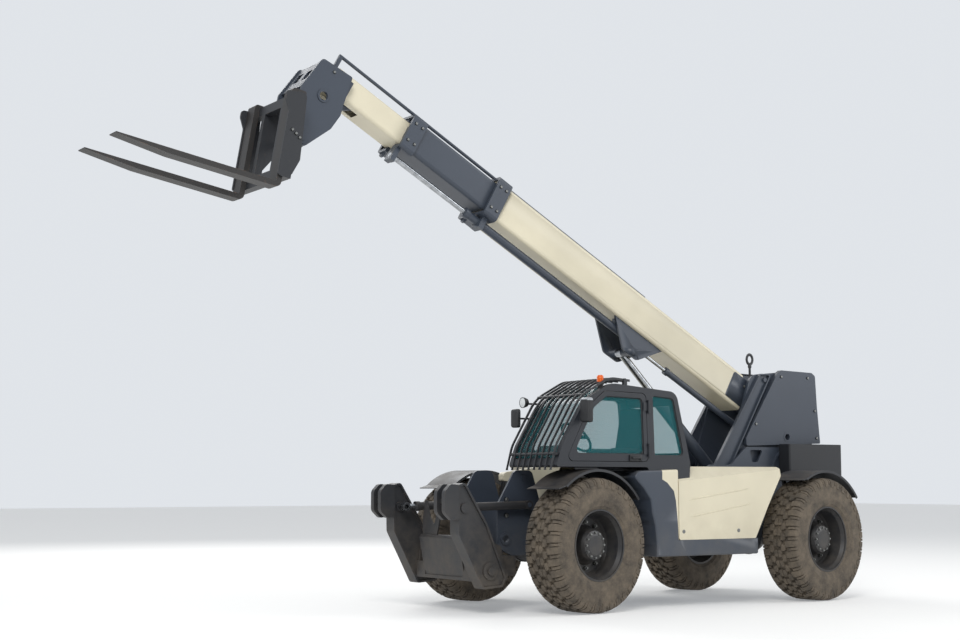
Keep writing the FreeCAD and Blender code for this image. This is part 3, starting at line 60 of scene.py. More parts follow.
LENS_MM, SENSOR_MM, SEES_TO = 59.2, 36.0, 300.0
CAMERA_AT = row(10.5745, 12.8550, 1.2176)
CAMERA_YAW, CAMERA_PITCH = math.radians(33.63), math.radians(5.86)
camera_data = bpy.data.cameras.new("photo_camera")
camera_data.sensor_width = SENSOR_MM
camera_data.lens = LENS_MM
camera_data.clip_end = SEES_TO
camera = bpy.data.objects.new("photo_camera", camera_data)
bpy.context.scene.collection.objects.link(camera)
look = Vector((-math.sin(CAMERA_YAW) * math.cos(CAMERA_PITCH),
               -math.cos(CAMERA_YAW) * math.cos(CAMERA_PITCH), math.sin(CAMERA_PITCH)))
camera.location = CAMERA_AT
camera.rotation_euler = look.to_track_quat("-Z", "Y").to_euler()
bpy.context.scene.camera = camera
print("camera at", [round(v, 3) for v in camera.location])

# %% [markdown]
# ## A small kit for materials
# Every finish is a node tree. One helper adds a node with its settings and links, another turns the
# hex colours a painter would quote into the linear values the renderer works in. The others are what
# surfaces have in common: patches, coats of colour over each other, and a fine grain.

# %% Material helpers


def paint_hex(code):
    """Linear RGBA of an sRGB hex colour."""
    channels = [int(code[i:i + 2], 16) / 255 for i in (0, 2, 4)]
    linear = [c / 12.92 if c <= 0.04045 else ((c + 0.055) / 1.055) ** 2.4 for c in channels]
    return (*linear, 1.0)


def add_node(tree, kind, inputs=None, **settings):
    """A node with its settings; an input is a value, or the socket that feeds it."""
    node = tree.nodes.new(kind)
    for key, value in settings.items():
        setattr(node, key, value)
    for key, value in (inputs or {}).items():
        socket = node.inputs[key]
        if isinstance(value, bpy.types.NodeSocket):
            tree.links.new(value, socket)
        else:
            socket.default_value = value
    return node


def new_finish(name, **values):
    """A material with these shader values (_ for a space), and object coordinates in metres."""
    finish = bpy.data.materials.new(name)
    finish.use_nodes = True
    tree = finish.node_tree
    shader = tree.nodes["Principled BSDF"]
    for key, value in values.items():
        shader.inputs[key.replace("_", " ")].default_value = value
    place = add_node(tree, "ShaderNodeTexCoord").outputs["Object"]
    return finish, tree, shader, place


def patches(tree, place, size_mm, low, high, detail=4.0, rough=0.6):
    """1 in patches about size_mm across and 0 between them: noise with its middle stretched."""
    lumps = add_node(tree, "ShaderNodeTexNoise", {
        "Vector": place, "Scale": 1000.0 / size_mm, "Detail": detail, "Roughness": rough})
    return add_node(tree, "ShaderNodeMapRange", {
        "Value": lumps.outputs["Fac"], "From Min": low, "From Max": high}).outputs["Result"]


def layered(tree, base, *coats):
    """A base colour under coats, each given as where it lies (0 to 1) and its colour."""
    tone = base
    for share, colour in coats:
        tone = add_node(tree, "ShaderNodeMix", {0: share, 6: tone, 7: colour}, data_type="RGBA").outputs[2]
    return tone


def grain(tree, shader, place, size_mm, height_mm, strength, detail, rough=0.6):
    """Relief of lumps about size_mm across and height_mm high."""
    lumps = add_node(tree, "ShaderNodeTexNoise", {
        "Vector": place, "Scale": 1000.0 / size_mm, "Detail": detail, "Roughness": rough})
    relief = add_node(tree, "ShaderNodeBump", {
        "Height": lumps.outputs["Fac"], "Distance": height_mm / 1000, "Strength": strength})
    tree.links.new(relief.outputs["Normal"], shader.inputs["Normal"])


print("helpers ready")

# %% [markdown]
# ## Wear and dust
# Paint rubs off first on convex edges, which a Bevel node finds: where its rounded normal leaves the
# true one, there is an edge. Dust lies on what faces up and is splashed on what is near the ground,
# so it follows the normal and the height above the floor and no painted map is needed.

# %% Where paint rubs off and dust lies
EDGE_REACH_MM = 6


def worn_edges(tree, place):
    """1 on convex edges, broken up by noise."""
    bevel = add_node(tree, "ShaderNodeBevel", {"Radius": EDGE_REACH_MM / 1000}, samples=4)
    normal = add_node(tree, "ShaderNodeNewGeometry").outputs["Normal"]
    turn = add_node(tree, "ShaderNodeVectorMath", {0: bevel.outputs["Normal"], 1: normal},
                    operation="DOT_PRODUCT").outputs["Value"]
    edge = add_node(tree, "ShaderNodeMapRange", {"Value": turn, "From Min": 0.99, "From Max": 0.90})
    broken = patches(tree, place, 60, 0.52, 0.66, 6.0, 0.7)
    return add_node(tree, "ShaderNodeMath", {0: edge.outputs["Result"], 1: broken},
                    operation="MULTIPLY").outputs[0]


def dust_on_top(tree, place):
    """1 in drifts on faces that look up."""
    normal = add_node(tree, "ShaderNodeNewGeometry").outputs["Normal"]
    facing = add_node(tree, "ShaderNodeSeparateXYZ", {"Vector": normal}).outputs["Z"]
    level = add_node(tree, "ShaderNodeMapRange", {"Value": facing, "From Min": 0.35, "From Max": 0.95})
    drifts = patches(tree, place, 240, 0.35, 0.75, 6.0)
    return add_node(tree, "ShaderNodeMath", {0: level.outputs["Result"], 1: drifts},
                    operation="MULTIPLY").outputs[0]


def dust_low(tree, place, top, depth):
    """1 near the ground, fading out over depth metres up to top."""
    height = add_node(tree, "ShaderNodeSeparateXYZ", {"Vector": place}).outputs["Z"]
    fade = add_node(tree, "ShaderNodeMapRange", {"Value": height, "From Min": top, "From Max": top - depth})
    splashes = patches(tree, place, 180, 0.30, 0.62, 6.0, 0.65)
    return add_node(tree, "ShaderNodeMath", {0: fade.outputs["Result"], 1: splashes},
                    operation="MULTIPLY").outputs[0]


print("edges worn over", EDGE_REACH_MM, "mm")

# %% [markdown]
# ## Paint on steel
# Machine enamel is sprayed thick over primer. It goes slightly chalky, collects dust on what faces up
# and near the ground, and rubs down to dark primer and steel along its edges. The same recipe, with
# other colours and more or less wear, gives every painted piece.

# %% Machine enamel
FADED, DUSTY_ROUGHNESS = 0.88, 0.85


def machine_enamel(name, paint, dust, primer, roughness, wear, dust_top, dust_depth, dust_most):
    """Sprayed enamel: hex colours, 0 to 1 for roughness, wear and dust, dust heights in metres."""
    finish, tree, shader, place = new_finish(name)
    # clouds 700 mm wide: uneven fading of large sheets
    cloud = patches(tree, place, 700, 0.35, 0.70, 3.0, 0.5)
    faded = tuple(c * FADED for c in paint_hex(paint)[:3]) + (1.0,)
    # settled dust on faces that look up, and splashed dust low down
    dusty = add_node(tree, "ShaderNodeMath", {
        0: dust_on_top(tree, place), 1: dust_low(tree, place, dust_top, dust_depth)}, operation="MAXIMUM")
    grime = add_node(tree, "ShaderNodeMath", {0: dusty.outputs[0], 1: dust_most},
                     operation="MULTIPLY").outputs[0]
    # chips 8 mm across where tools and stones hit, and rubbed edges
    chip = patches(tree, place, 42, 0.735 - 0.05 * wear, 0.755 - 0.05 * wear, 8.0, 0.75)
    edges = add_node(tree, "ShaderNodeMath", {0: worn_edges(tree, place), 1: wear}, operation="MULTIPLY")
    rubbed = add_node(tree, "ShaderNodeMath", {0: chip, 1: edges.outputs[0]}, operation="MAXIMUM").outputs[0]
    tone = layered(tree, paint_hex(paint), (cloud, faded), (grime, paint_hex(dust)),
                   (rubbed, paint_hex(primer)))
    tree.links.new(tone, shader.inputs["Base Color"])
    rough = add_node(tree, "ShaderNodeMapRange", {
        "Value": grime, "To Min": roughness, "To Max": DUSTY_ROUGHNESS}).outputs["Result"]
    tree.links.new(rough, shader.inputs["Roughness"])
    # orange peel of the spray, about 3 mm from crest to crest
    grain(tree, shader, place, 3.0, 0.05, 0.35, 2.0)
    return finish


CREAM = machine_enamel("cream_machine_enamel", "D8D0B8", "A89C84", "6B5F50", 0.38, 0.35, 1.1, 0.7, 0.38)
SLATE = machine_enamel("slate_machine_enamel", "3A414C", "6E6960", "23262B", 0.40, 0.5, 1.0, 0.8, 0.42)
CAB_BLACK = machine_enamel("black_cab_enamel", "22252B", "6E6960", "15171A", 0.40, 0.5, 1.0, 0.8, 0.42)
BLACK = machine_enamel("black_chassis_enamel", "24262A", "6A6156", "5B4A3C", 0.48, 1.0, 1.2, 1.0, 0.55)
RIM = machine_enamel("black_rim_enamel", "222428", "635B50", "4A4540", 0.42, 0.7, 1.4, 1.2, 0.40)
FORK = machine_enamel("worn_fork_enamel", "2A2827", "6B5A49", "6E5240", 0.50, 1.6, 0.1, 0.1, 0.30)
BALLAST = machine_enamel("black_cast_ballast", "1F2125", "5F584E", "3B3733", 0.55, 0.5, 1.3, 1.0, 0.45)
print("enamels", [m.name for m in (CREAM, SLATE, CAB_BLACK, BLACK, RIM, FORK, BALLAST)])

# %% [markdown]
# ## Rubber, glass, chrome and the rest
# Tyre rubber is nearly black, but on a dry site it wears a coat of pale clay, thickest in patches.
# Hydraulic rods are hard chrome, ground round and dulled by oil here and there. Cab glass is tinted
# green-blue in the mass, and a mirror is a smooth metal behind clear glass.

# %% Rubber, chrome and glass


def dusty_tyre_rubber():
    """Dull black rubber under clay that dries in patches and specks."""
    finish, tree, shader, place = new_finish("dusty_tyre_rubber", Roughness=0.88, IOR=1.52)
    patch = patches(tree, place, 120, 0.30, 0.70, 6.0, 0.7)
    speck = add_node(tree, "ShaderNodeMath", {0: patches(tree, place, 9, 0.55, 0.72, 4.0, 0.8), 1: 0.45},
                     operation="MULTIPLY").outputs[0]
    tone = layered(tree, paint_hex("3B3630"), (patch, paint_hex("6D6254")), (speck, paint_hex("8A7C68")))
    tree.links.new(tone, shader.inputs["Base Color"])
    grain(tree, shader, place, 7, 0.8, 0.6, 6.0, 0.7)
    return finish


def hard_chrome():
    """Ground chrome with an oily smear here and there."""
    finish, tree, shader, place = new_finish("hard_chrome_rod", Metallic=1.0)
    smear = patches(tree, place, 60, 0.3, 0.7)
    tone = layered(tree, paint_hex("B9BCC0"), (smear, paint_hex("8F9296")))
    tree.links.new(tone, shader.inputs["Base Color"])
    rough = add_node(tree, "ShaderNodeMapRange", {"Value": smear, "To Min": 0.16, "To Max": 0.30})
    tree.links.new(rough.outputs["Result"], shader.inputs["Roughness"])
    return finish


def tinted_cab_glass():
    """Toughened glass 6 mm thick, tinted green-blue in the mass."""
    finish = new_finish("tinted_toughened_glass", Base_Color=paint_hex("24767C"), Roughness=0.02,
                        IOR=1.45, Alpha=0.26)[0]
    finish.surface_render_method = "BLENDED"
    return finish


TYRE, CHROME, GLASS = dusty_tyre_rubber(), hard_chrome(), tinted_cab_glass()
MIRROR = new_finish("silvered_mirror_glass", Base_Color=paint_hex("C9CDD0"), Metallic=1.0, Roughness=0.04)[0]
print("finishes", len(bpy.data.materials))

# %% Plastics, cloth, bare metal and a painted sky reflection


def plain_finish(name, tone, other, size_mm, roughness, grain_mm=0.0, metallic=0.0):
    """A finish that varies a little between two colours."""
    finish, tree, shader, place = new_finish(name, Roughness=roughness, Metallic=metallic)
    patch = patches(tree, place, size_mm, 0.35, 0.65, 5.0)
    tree.links.new(layered(tree, paint_hex(tone), (patch, paint_hex(other))), shader.inputs["Base Color"])
    if grain_mm:
        grain(tree, shader, place, max(1.5, size_mm / 30), grain_mm, 0.6, 3.0)
    return finish


PLASTIC = plain_finish("moulded_black_polypropylene", "1B1C1E", "242527", 60, 0.55, 0.15)
SEAT = plain_finish("woven_seat_polyester", "1D1F23", "2B2E33", 4, 0.92, 0.4)
IRON = plain_finish("grey_cast_engine_iron", "46484B", "35373A", 50, 0.65, 0.5)
BOLT = plain_finish("zinc_plated_steel", "8E8F8D", "6F706E", 15, 0.42, 0.0, 0.9)
# painted highlight: pale grey with a little metal sheen, standing in for sky reflected on a black mirror
# shell's top
PAINTED_SKY_SHEEN = plain_finish("painted_sky_sheen_on_mirror", "A9ADB1", "8D9195", 70, 0.38, 0.0, 0.2)
print("plain finishes", [m.name for m in (PLASTIC, SEAT, IRON, BOLT, PAINTED_SKY_SHEEN)])

# %% Lenses


def coloured_lens(name, tone, glow):
    """Ribbed acrylic lens with its lamp's own faint glow."""
    finish, tree, shader, place = new_finish(
        name, Base_Color=paint_hex(tone), Roughness=0.12, IOR=1.49, Emission_Color=paint_hex(tone),
        Emission_Strength=glow)
    ribs = add_node(tree, "ShaderNodeTexWave", {"Vector": place, "Scale": 60.0}, bands_direction="Z")
    relief = add_node(tree, "ShaderNodeBump", {
        "Height": ribs.outputs["Fac"], "Distance": 0.0006, "Strength": 0.5})
    tree.links.new(relief.outputs["Normal"], shader.inputs["Normal"])
    return finish


AMBER = coloured_lens("amber_acrylic_lens", "D95F12", 0.10)
RED = coloured_lens("red_acrylic_lens", "A01A16", 0.05)
CLEAR = coloured_lens("clear_acrylic_lens", "D8DCDD", 0.05)
print("lenses", 3)

# %% [markdown]
# ## Dress the solids
# Most plates and tubes need no new shape: the solid is already right, so it only takes its finish.
# The photograph gives the colours: cream outer and inner boom, cover and hood, slate for tower,
# collars, middle boom and head, black for the cab and for what works near the ground.

# %% Finishes of the CAD pieces
FINISH_OF = {
    CREAM: ["boom_fly", "panel_left", "hood"],
    SLATE: ["tower", "boom_base", "body_left", "base_collar", "boom_mid", "boom_head", "chassis",
            "extension_barrel", "lift_barrel", "comp_barrel", "tilt_barrel"],
    CAB_BLACK: ["cab", "door"],
    BLACK: ["axle_front", "axle_rear", "engine_bay", "stabiliser_frame", "leg_l", "leg_r",
            "leg_l_barrel", "leg_r_barrel", "carriage", "guard_grille",
            "knuckle_fl", "knuckle_fr", "knuckle_rl", "knuckle_rr"],
    BALLAST: ["counterweight"],
    RIM: ["rim_fl", "rim_fr", "rim_rl", "rim_rr"],
    TYRE: ["tyre_fl", "tyre_fr", "tyre_rl", "tyre_rr"],
    CHROME: ["extension_rod", "lift_rod", "comp_rod", "tilt_rod", "leg_l_rod", "leg_r_rod"],
    FORK: ["forks"],
    GLASS: ["cab_glass", "door_glass"],
    IRON: ["engine"],
    SEAT: ["seat"],
    PLASTIC: ["console", "mirrors", "lamps"],
}
for finish, names in FINISH_OF.items():
    for name in names:
        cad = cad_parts[name]
        for slot in cad.material_slots:
            slot.material = finish
left_plain = set(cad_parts) - {name for names in FINISH_OF.values() for name in names}
print("nodes without a finish:", sorted(left_plain))

# %% [markdown]
# ## Tyres
# An off-road tyre is a smooth carcass with rubber lugs moulded on it: staggered blocks on the crown
# and long bars that run over the shoulder and down the side wall. One pitch of that pattern is drawn,
# and Geometry Nodes repeat it round the axle, so that lug count and pitch stay one number.

# %% Wheel places
WHEEL_X, KINGPIN_Y, KINGPIN_TO_WHEEL = 1.490, 0.750, 0.200
WHEEL_R = 0.630
PARK_STEER = math.radians(9.0)


def wheel_place(front, left):
    """Matrix that carries a wheel drawn at the origin, outer side to +Y, to its corner."""
    side = 1.0 if left else -1.0
    turn = Matrix.Rotation(PARK_STEER, 4, "Z")
    kingpin = row(WHEEL_X if front else -WHEEL_X, side * KINGPIN_Y, WHEEL_R)
    mirror = Matrix.Diagonal((1.0, side, 1.0, 1.0))
    return Matrix.Translation(kingpin) @ turn @ mirror @ Matrix.Translation((0, KINGPIN_TO_WHEEL, 0))


CORNERS = {"fl": (True, True), "fr": (True, False), "rl": (False, True), "rr": (False, False)}


def as_matrix(place):
    """A matrix as it is, or the move to a point."""
    return place if isinstance(place, Matrix) else Matrix.Translation(place)


def keep(mesh, name, finishes, place=(0, 0, 0)):
    """A finished mesh as a piece at the origin, its place baked into its points."""
    mesh.transform(as_matrix(place))
    if as_matrix(place).determinant() < 0:
        mesh.flip_normals()
    piece = bpy.data.objects.new(name, mesh)
    bpy.context.scene.collection.objects.link(piece)
    mesh.materials.clear()
    for finish in finishes:
        mesh.materials.append(finish)
    return piece


def smoothed(mesh, crease=None):
    """The mesh shaded smooth, except across edges that turn by more than crease degrees."""
    mesh.shade_smooth()
    if crease is not None:
        mesh.set_sharp_from_angle(angle=math.radians(crease))
    return mesh


def to_mesh(work, name):
    """The mesh of a bmesh, which is freed."""
    mesh = bpy.data.meshes.new(name)
    work.to_mesh(mesh)
    work.free()
    return mesh


def lathe(name, profile, steps):
    """Closed ring turned about Y from (radius, y) points that go round it once."""
    work = bmesh.new()
    rings = []
    for step in range(steps):
        turn = 2 * math.pi * step / steps
        rings.append([work.verts.new((r * math.cos(turn), y, r * math.sin(turn))) for r, y in profile])
    for here, after in zip(rings, rings[1:] + rings[:1]):
        for i in range(len(profile)):
            j = (i + 1) % len(profile)
            work.faces.new((here[i], here[j], after[j], after[i]))
    bmesh.ops.recalc_face_normals(work, faces=work.faces)
    return to_mesh(work, name)


# %% Carcass
# half of the section, from the bead outwards to the crown: radius and distance from the middle
CARCASS = [
    (0.3360, 0.176), (0.3520, 0.186), (0.3600, 0.190), (0.3660, 0.196), (0.4100, 0.2035), (0.4160, 0.2065),
    (0.4240, 0.2065), (0.4300, 0.2045), (0.4900, 0.2065), (0.5400, 0.2040), (0.5750, 0.1970),
    (0.5920, 0.1800), (0.5990, 0.1500), (0.6010, 0.0700),
]
CROWN_R, BEAD_R, BEAD_INNER_Y, CARCASS_STEPS = 0.6015, 0.3360, 0.150, 120
section = (CARCASS + [(CROWN_R, 0.0)] + [(r, -y) for r, y in reversed(CARCASS)]
           + [(BEAD_R, -BEAD_INNER_Y), (BEAD_R, BEAD_INNER_Y)])
carcass = lathe("tyre_carcass", section, CARCASS_STEPS)
print("carcass faces", len(carcass.polygons))

# %% [markdown]
# A lug is swept over the tyre's section: for each point of the section it has a first and a last
# angle, and a foot sunk a little into the carcass. Skewing the angles makes the blocks interlock.

# %% One pitch of tread
LUGS_ROUND = 36
PITCH = 2 * math.pi / LUGS_ROUND
DRAFT = 0.035  # a lug's foot is wider than its top by this part of a pitch at each end
LUG_BEVEL = 0.003


def skin(work, rings):
    """Side faces from each ring of points to the next, and a cap on the first and last."""
    count = len(rings[0])
    for a, b in zip(rings, rings[1:]):
        for i in range(count):
            j = (i + 1) % count
            work.faces.new((a[i], a[j], b[j], b[i]))
    work.faces.new(rings[0])
    work.faces.new(list(reversed(rings[-1])))


def ring_point(radius, y, angle):
    """A point at an angle round the axle, from the top on."""
    return Vector((radius * math.sin(angle), y, radius * math.cos(angle)))


def add_lug(work, rows):
    """Lug from rows of (top radius, top y, foot radius, foot y, first, last), angles in pitches."""
    rings = []
    for top_r, top_y, foot_r, foot_y, first, last in rows:
        rings.append([work.verts.new(p) for p in (
            ring_point(foot_r, foot_y, (first - DRAFT) * PITCH), ring_point(top_r, top_y, first * PITCH),
            ring_point(top_r, top_y, last * PITCH), ring_point(foot_r, foot_y, (last + DRAFT) * PITCH))])
    skin(work, rings)


# rows of each lug: top radius, top y, foot radius, foot y, first, last
SHOULDER_LONG = [
    (0.6285, 0.100, 0.594, 0.092, 0.10, 0.66), (0.6270, 0.150, 0.592, 0.150, 0.02, 0.62),
    (0.6140, 0.184, 0.580, 0.174, 0.00, 0.60), (0.5920, 0.2040, 0.568, 0.190, 0.00, 0.58),
    (0.5350, 0.2100, 0.535, 0.198, 0.02, 0.54),
]
SHOULDER_SHORT = [
    (0.6270, 0.135, 0.592, 0.130, 0.72, 0.98), (0.6130, 0.184, 0.580, 0.174, 0.70, 0.92),
    (0.5920, 0.2040, 0.568, 0.190, 0.70, 0.92), (0.5650, 0.2080, 0.558, 0.198, 0.72, 0.90),
]
CROWN_OUTER = [
    (0.6295, 0.048, 0.597, 0.040, 0.42, 0.98), (0.6295, 0.070, 0.597, 0.070, 0.34, 1.02),
    (0.6290, 0.094, 0.597, 0.100, 0.44, 0.90),
]
CROWN_INNER = [
    (0.6300, 0.004, 0.598, -0.002, -0.02, 0.52), (0.6300, 0.024, 0.598, 0.024, -0.10, 0.60),
    (0.6300, 0.043, 0.598, 0.050, 0.02, 0.46),
]


def half_turned(rows, shift):
    """The same lug on the tyre's other half, moved along by a part of a pitch."""
    return [(tr, -ty, fr, -fy, 1.0 - last + shift, 1.0 - first + shift)
            for tr, ty, fr, fy, first, last in rows]


pitch_work = bmesh.new()
for lug_rows in (SHOULDER_LONG, SHOULDER_SHORT, CROWN_OUTER, CROWN_INNER):
    add_lug(pitch_work, lug_rows)
    add_lug(pitch_work, half_turned(lug_rows, 0.5))
bmesh.ops.recalc_face_normals(pitch_work, faces=pitch_work.faces)
sharp = [e for e in pitch_work.edges
         if e.calc_face_angle(0.0) > 0.5 and max(v.co.length for v in e.verts) > 0.6]
bmesh.ops.bevel(pitch_work, geom=sharp, offset=LUG_BEVEL, segments=1, affect="EDGES")
pitch_mesh = to_mesh(pitch_work, "tread_pitch")
print("one pitch has", len(pitch_mesh.polygons), "faces")

# %% [markdown]
# The ring of lugs needs no path: every copy sits at the axle and is only turned about it, by its
# own number times the pitch. The same tree later sets wheel nuts and cap screws.

# %% Repeat round an axle


def repeat_tree(name, more_inputs, lay_out):
    """Copies of the incoming mesh where lay_out puts them, made real and given a finish."""
    tree = bpy.data.node_groups.new(name, "GeometryNodeTree")
    inputs = {"Geometry": "Geometry", "Copies": "Int", "Finish": "Material", **more_inputs}
    for key, kind in inputs.items():
        tree.interface.new_socket(key, in_out="INPUT", socket_type="NodeSocket" + kind)
    tree.interface.new_socket("Geometry", in_out="OUTPUT", socket_type="NodeSocketGeometry")
    start = add_node(tree, "NodeGroupInput").outputs
    copies = add_node(tree, "GeometryNodeInstanceOnPoints", {
        "Instance": start["Geometry"], **lay_out(tree, start)})
    real = add_node(tree, "GeometryNodeRealizeInstances", {"Geometry": copies.outputs[0]})
    painted = add_node(tree, "GeometryNodeSetMaterial", {
        "Geometry": real.outputs[0], "Material": start["Finish"]})
    tree.links.new(painted.outputs[0], add_node(tree, "NodeGroupOutput").inputs["Geometry"])
    return tree


def round_axle(tree, start):
    """Points that all sit at the axle, and turns about it that share out the circle."""
    step = add_node(tree, "ShaderNodeMath", {0: 2 * math.pi, 1: start["Copies"]}, operation="DIVIDE")
    index = add_node(tree, "GeometryNodeInputIndex").outputs["Index"]
    angle = add_node(tree, "ShaderNodeMath", {0: index, 1: step.outputs[0]}, operation="MULTIPLY")
    turn = add_node(tree, "ShaderNodeCombineXYZ", {"Y": angle.outputs[0]})
    points = add_node(tree, "GeometryNodePoints", {"Count": start["Copies"]})
    return {"Points": points.outputs[0], "Rotation": turn.outputs[0]}


RING = repeat_tree("repeat_round_axle", {}, round_axle)


def plain_mesh(data, group=None, **values):
    """The plain mesh that a curve, or a mesh under a node group with these inputs, turns into."""
    holder = bpy.data.objects.new(data.name, data)
    bpy.context.scene.collection.objects.link(holder)
    if group is not None:
        modifier = holder.modifiers.new(group.name, "NODES")
        modifier.node_group = group
        for item in group.interface.items_tree:
            if item.name in values:
                modifier[item.identifier] = values[item.name]
    result = bpy.data.meshes.new_from_object(holder.evaluated_get(bpy.context.evaluated_depsgraph_get()))
    bpy.data.objects.remove(holder)
    return result


def joined(meshes, name):
    """One mesh from several, each left as it is."""
    work = bmesh.new()
    for mesh in meshes:
        work.from_mesh(mesh)
    return to_mesh(work, name)


tread = plain_mesh(pitch_mesh, RING, Copies=LUGS_ROUND, Finish=TYRE)
tyre_mesh = joined([carcass, tread], "tyre_with_tread")
for polygon in tyre_mesh.polygons:
    polygon.material_index = 0
smoothed(tyre_mesh, 32)
for corner, (is_front, is_left) in CORNERS.items():
    tyre = keep(tyre_mesh.copy(), "dusty_tyre_" + corner, [TYRE], wheel_place(is_front, is_left))
    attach(tyre, "wheel_" + corner)
    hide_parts("tyre_" + corner)
print("each tyre has", len(tyre_mesh.polygons), "faces")

# %% [markdown]
# ## Wheel nuts and hub screws
# Ten nuts hold the rim to its hub, and a ring of small cap screws closes the planetary cover. Both
# are real fasteners about 30 and 18 mm across, so they are drawn once and repeated.

# %% Nuts and screws
WASHER_T = 0.004


def hex_nut(across, height, stud_r, stud_out):
    """Nut with a chamfered top, its stud and washer, standing up from the origin along +Y."""
    work = bmesh.new()
    outer, chamfer_at = across / 2 / math.cos(math.radians(30)), height * 0.85
    for segments, radius, top, low, high in (
            (6, outer, outer, 0.0, chamfer_at), (6, outer, outer * 0.86, chamfer_at, height),
            (16, stud_r, stud_r * 0.85, height, height + stud_out),
            (16, outer * 1.22, outer * 1.22, -WASHER_T, 0.0)):
        cone = bmesh.ops.create_cone(work, cap_ends=True, segments=segments, radius1=radius, radius2=top,
                                     depth=high - low)
        bmesh.ops.translate(work, verts=cone["verts"], vec=(0, 0, (low + high) / 2))
    mesh = to_mesh(work, "hex_nut")
    mesh.transform(Matrix.Rotation(-math.pi / 2, 4, "X"))
    return mesh


def nut_ring(radius, y, copies, nut):
    """Copies of a nut on a circle about the axle."""
    nut.transform(Matrix.Translation((0, y, radius)))
    return plain_mesh(nut, RING, Copies=copies, Finish=BOLT)


WHEEL_NUTS, HUB_SCREWS = 10, 12
hub_mesh = joined([
    nut_ring(0.215, -0.020, WHEEL_NUTS, hex_nut(0.034, 0.026, 0.012, 0.014)),
    nut_ring(0.116, 0.122, HUB_SCREWS, hex_nut(0.018, 0.010, 0.006, 0.002)),
], "wheel_fasteners")
for corner, (is_front, is_left) in CORNERS.items():
    nuts = keep(hub_mesh.copy(), "wheel_nuts_" + corner, [BOLT], wheel_place(is_front, is_left))
    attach(nuts, "wheel_" + corner)
print("fasteners on each wheel:", WHEEL_NUTS + HUB_SCREWS)

# %% [markdown]
# ## The boom's two colours
# The outer section is one welding sprayed in two colours: cream on the box, dark on the arms behind
# it and on the brackets below. Splitting it in two solids would put a seam where the real one has
# none, so a merged copy stays one skin and each face takes its finish by where it lies on the boom.

# %% Outer boom section
BOOM_PIN, BOOM_SLOPE = row(-1.870, 0.0, 1.860), math.radians(29.3)
ON_BOOM = Matrix.Translation(BOOM_PIN) @ Matrix.Rotation(-BOOM_SLOPE, 4, "Y")
FROM_BOOM = ON_BOOM.inverted()
# along the boom from its pin, below and beside it: where the cream box begins
TUBE_REAR, TUBE_LOW, TUBE_HALF, ARM_END = 0.655, -0.2165, 0.2102, 0.93


WELD = 1e-5


def merged_copy(node, name):
    """The node's mesh with its loose triangles joined up, smooth except at its edges."""
    work = bmesh.new()
    work.from_mesh(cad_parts[node].data)
    bmesh.ops.remove_doubles(work, verts=work.verts, dist=WELD)
    return smoothed(to_mesh(work, name), 30)


def keep_on(body, mesh, name, finishes, place=(0, 0, 0)):
    """A piece that rides on a body."""
    piece = keep(mesh, name, finishes, place)
    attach(piece, body)
    return piece


boom_mesh = merged_copy("boom_base", "two_tone_boom")
boom_skin = keep_on("boom", boom_mesh, "two_tone_boom", [CREAM, SLATE])
for polygon in boom_mesh.polygons:
    at = FROM_BOOM @ polygon.center
    on_arm = at.x < TUBE_REAR or abs(at.y) > TUBE_HALF and at.x < ARM_END
    polygon.material_index = 1 if on_arm or at.z < TUBE_LOW else 0
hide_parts("boom_base")
print("dark faces", sum(p.material_index for p in boom_mesh.polygons), "of", len(boom_mesh.polygons))

# %% [markdown]
# ## Rows of bolts
# Wear pads are held by screws through the collars, covers by screws at their corners. Geometry
# Nodes set one drawn head along a line, so that a row is a start, a step and a count. The heads
# could be modelled one by one, but then a change of size would have to be made a hundred times.

# %% Repeat along a line


def along_line(tree, start):
    """Points at equal steps from a start."""
    line = add_node(tree, "GeometryNodeMeshLine", {
        "Count": start["Copies"], "Start Location": start["Start"], "Offset": start["Step"]}, mode="OFFSET")
    return {"Points": line.outputs[0]}


LINE = repeat_tree("repeat_along_line", {"Start": "Vector", "Step": "Vector"}, along_line)
# turns a head that stands up along +Y to look along another axis
LOOKING = {
    "+Y": Matrix.Identity(4), "-Y": Matrix.Rotation(math.pi, 4, "Z"),
    "+X": Matrix.Rotation(-math.pi / 2, 4, "Z"), "-X": Matrix.Rotation(math.pi / 2, 4, "Z"),
    "+Z": Matrix.Rotation(math.pi / 2, 4, "X"), "-Z": Matrix.Rotation(-math.pi / 2, 4, "X"),
}


def in_line(mesh, looking, start, step, copies, finish):
    """A plain mesh of copies at equal steps, all turned the same way."""
    head = mesh.copy()
    head.transform(LOOKING[looking])
    return plain_mesh(head, LINE, Copies=copies, Start=start, Step=step, Finish=finish)


def both_sides(rows):
    """Each row once for +Y and once mirrored for -Y."""
    found = []
    for body, frame_of, looking, start, step, copies, head in rows:
        found.append((body, frame_of, looking, start, step, copies, head))
        other = "-Y" if looking == "+Y" else looking
        found.append((body, frame_of, other, (start[0], -start[1], start[2]),
                      (step[0], -step[1], step[2]), copies, head))
    return found


# %% Screws of collars, head, tower and nose
M16 = hex_nut(0.024, 0.012, 0.007, 0.001)
M24 = hex_nut(0.036, 0.017, 0.012, 0.002)
HERE = Matrix.Translation(row(0, 0, 0))
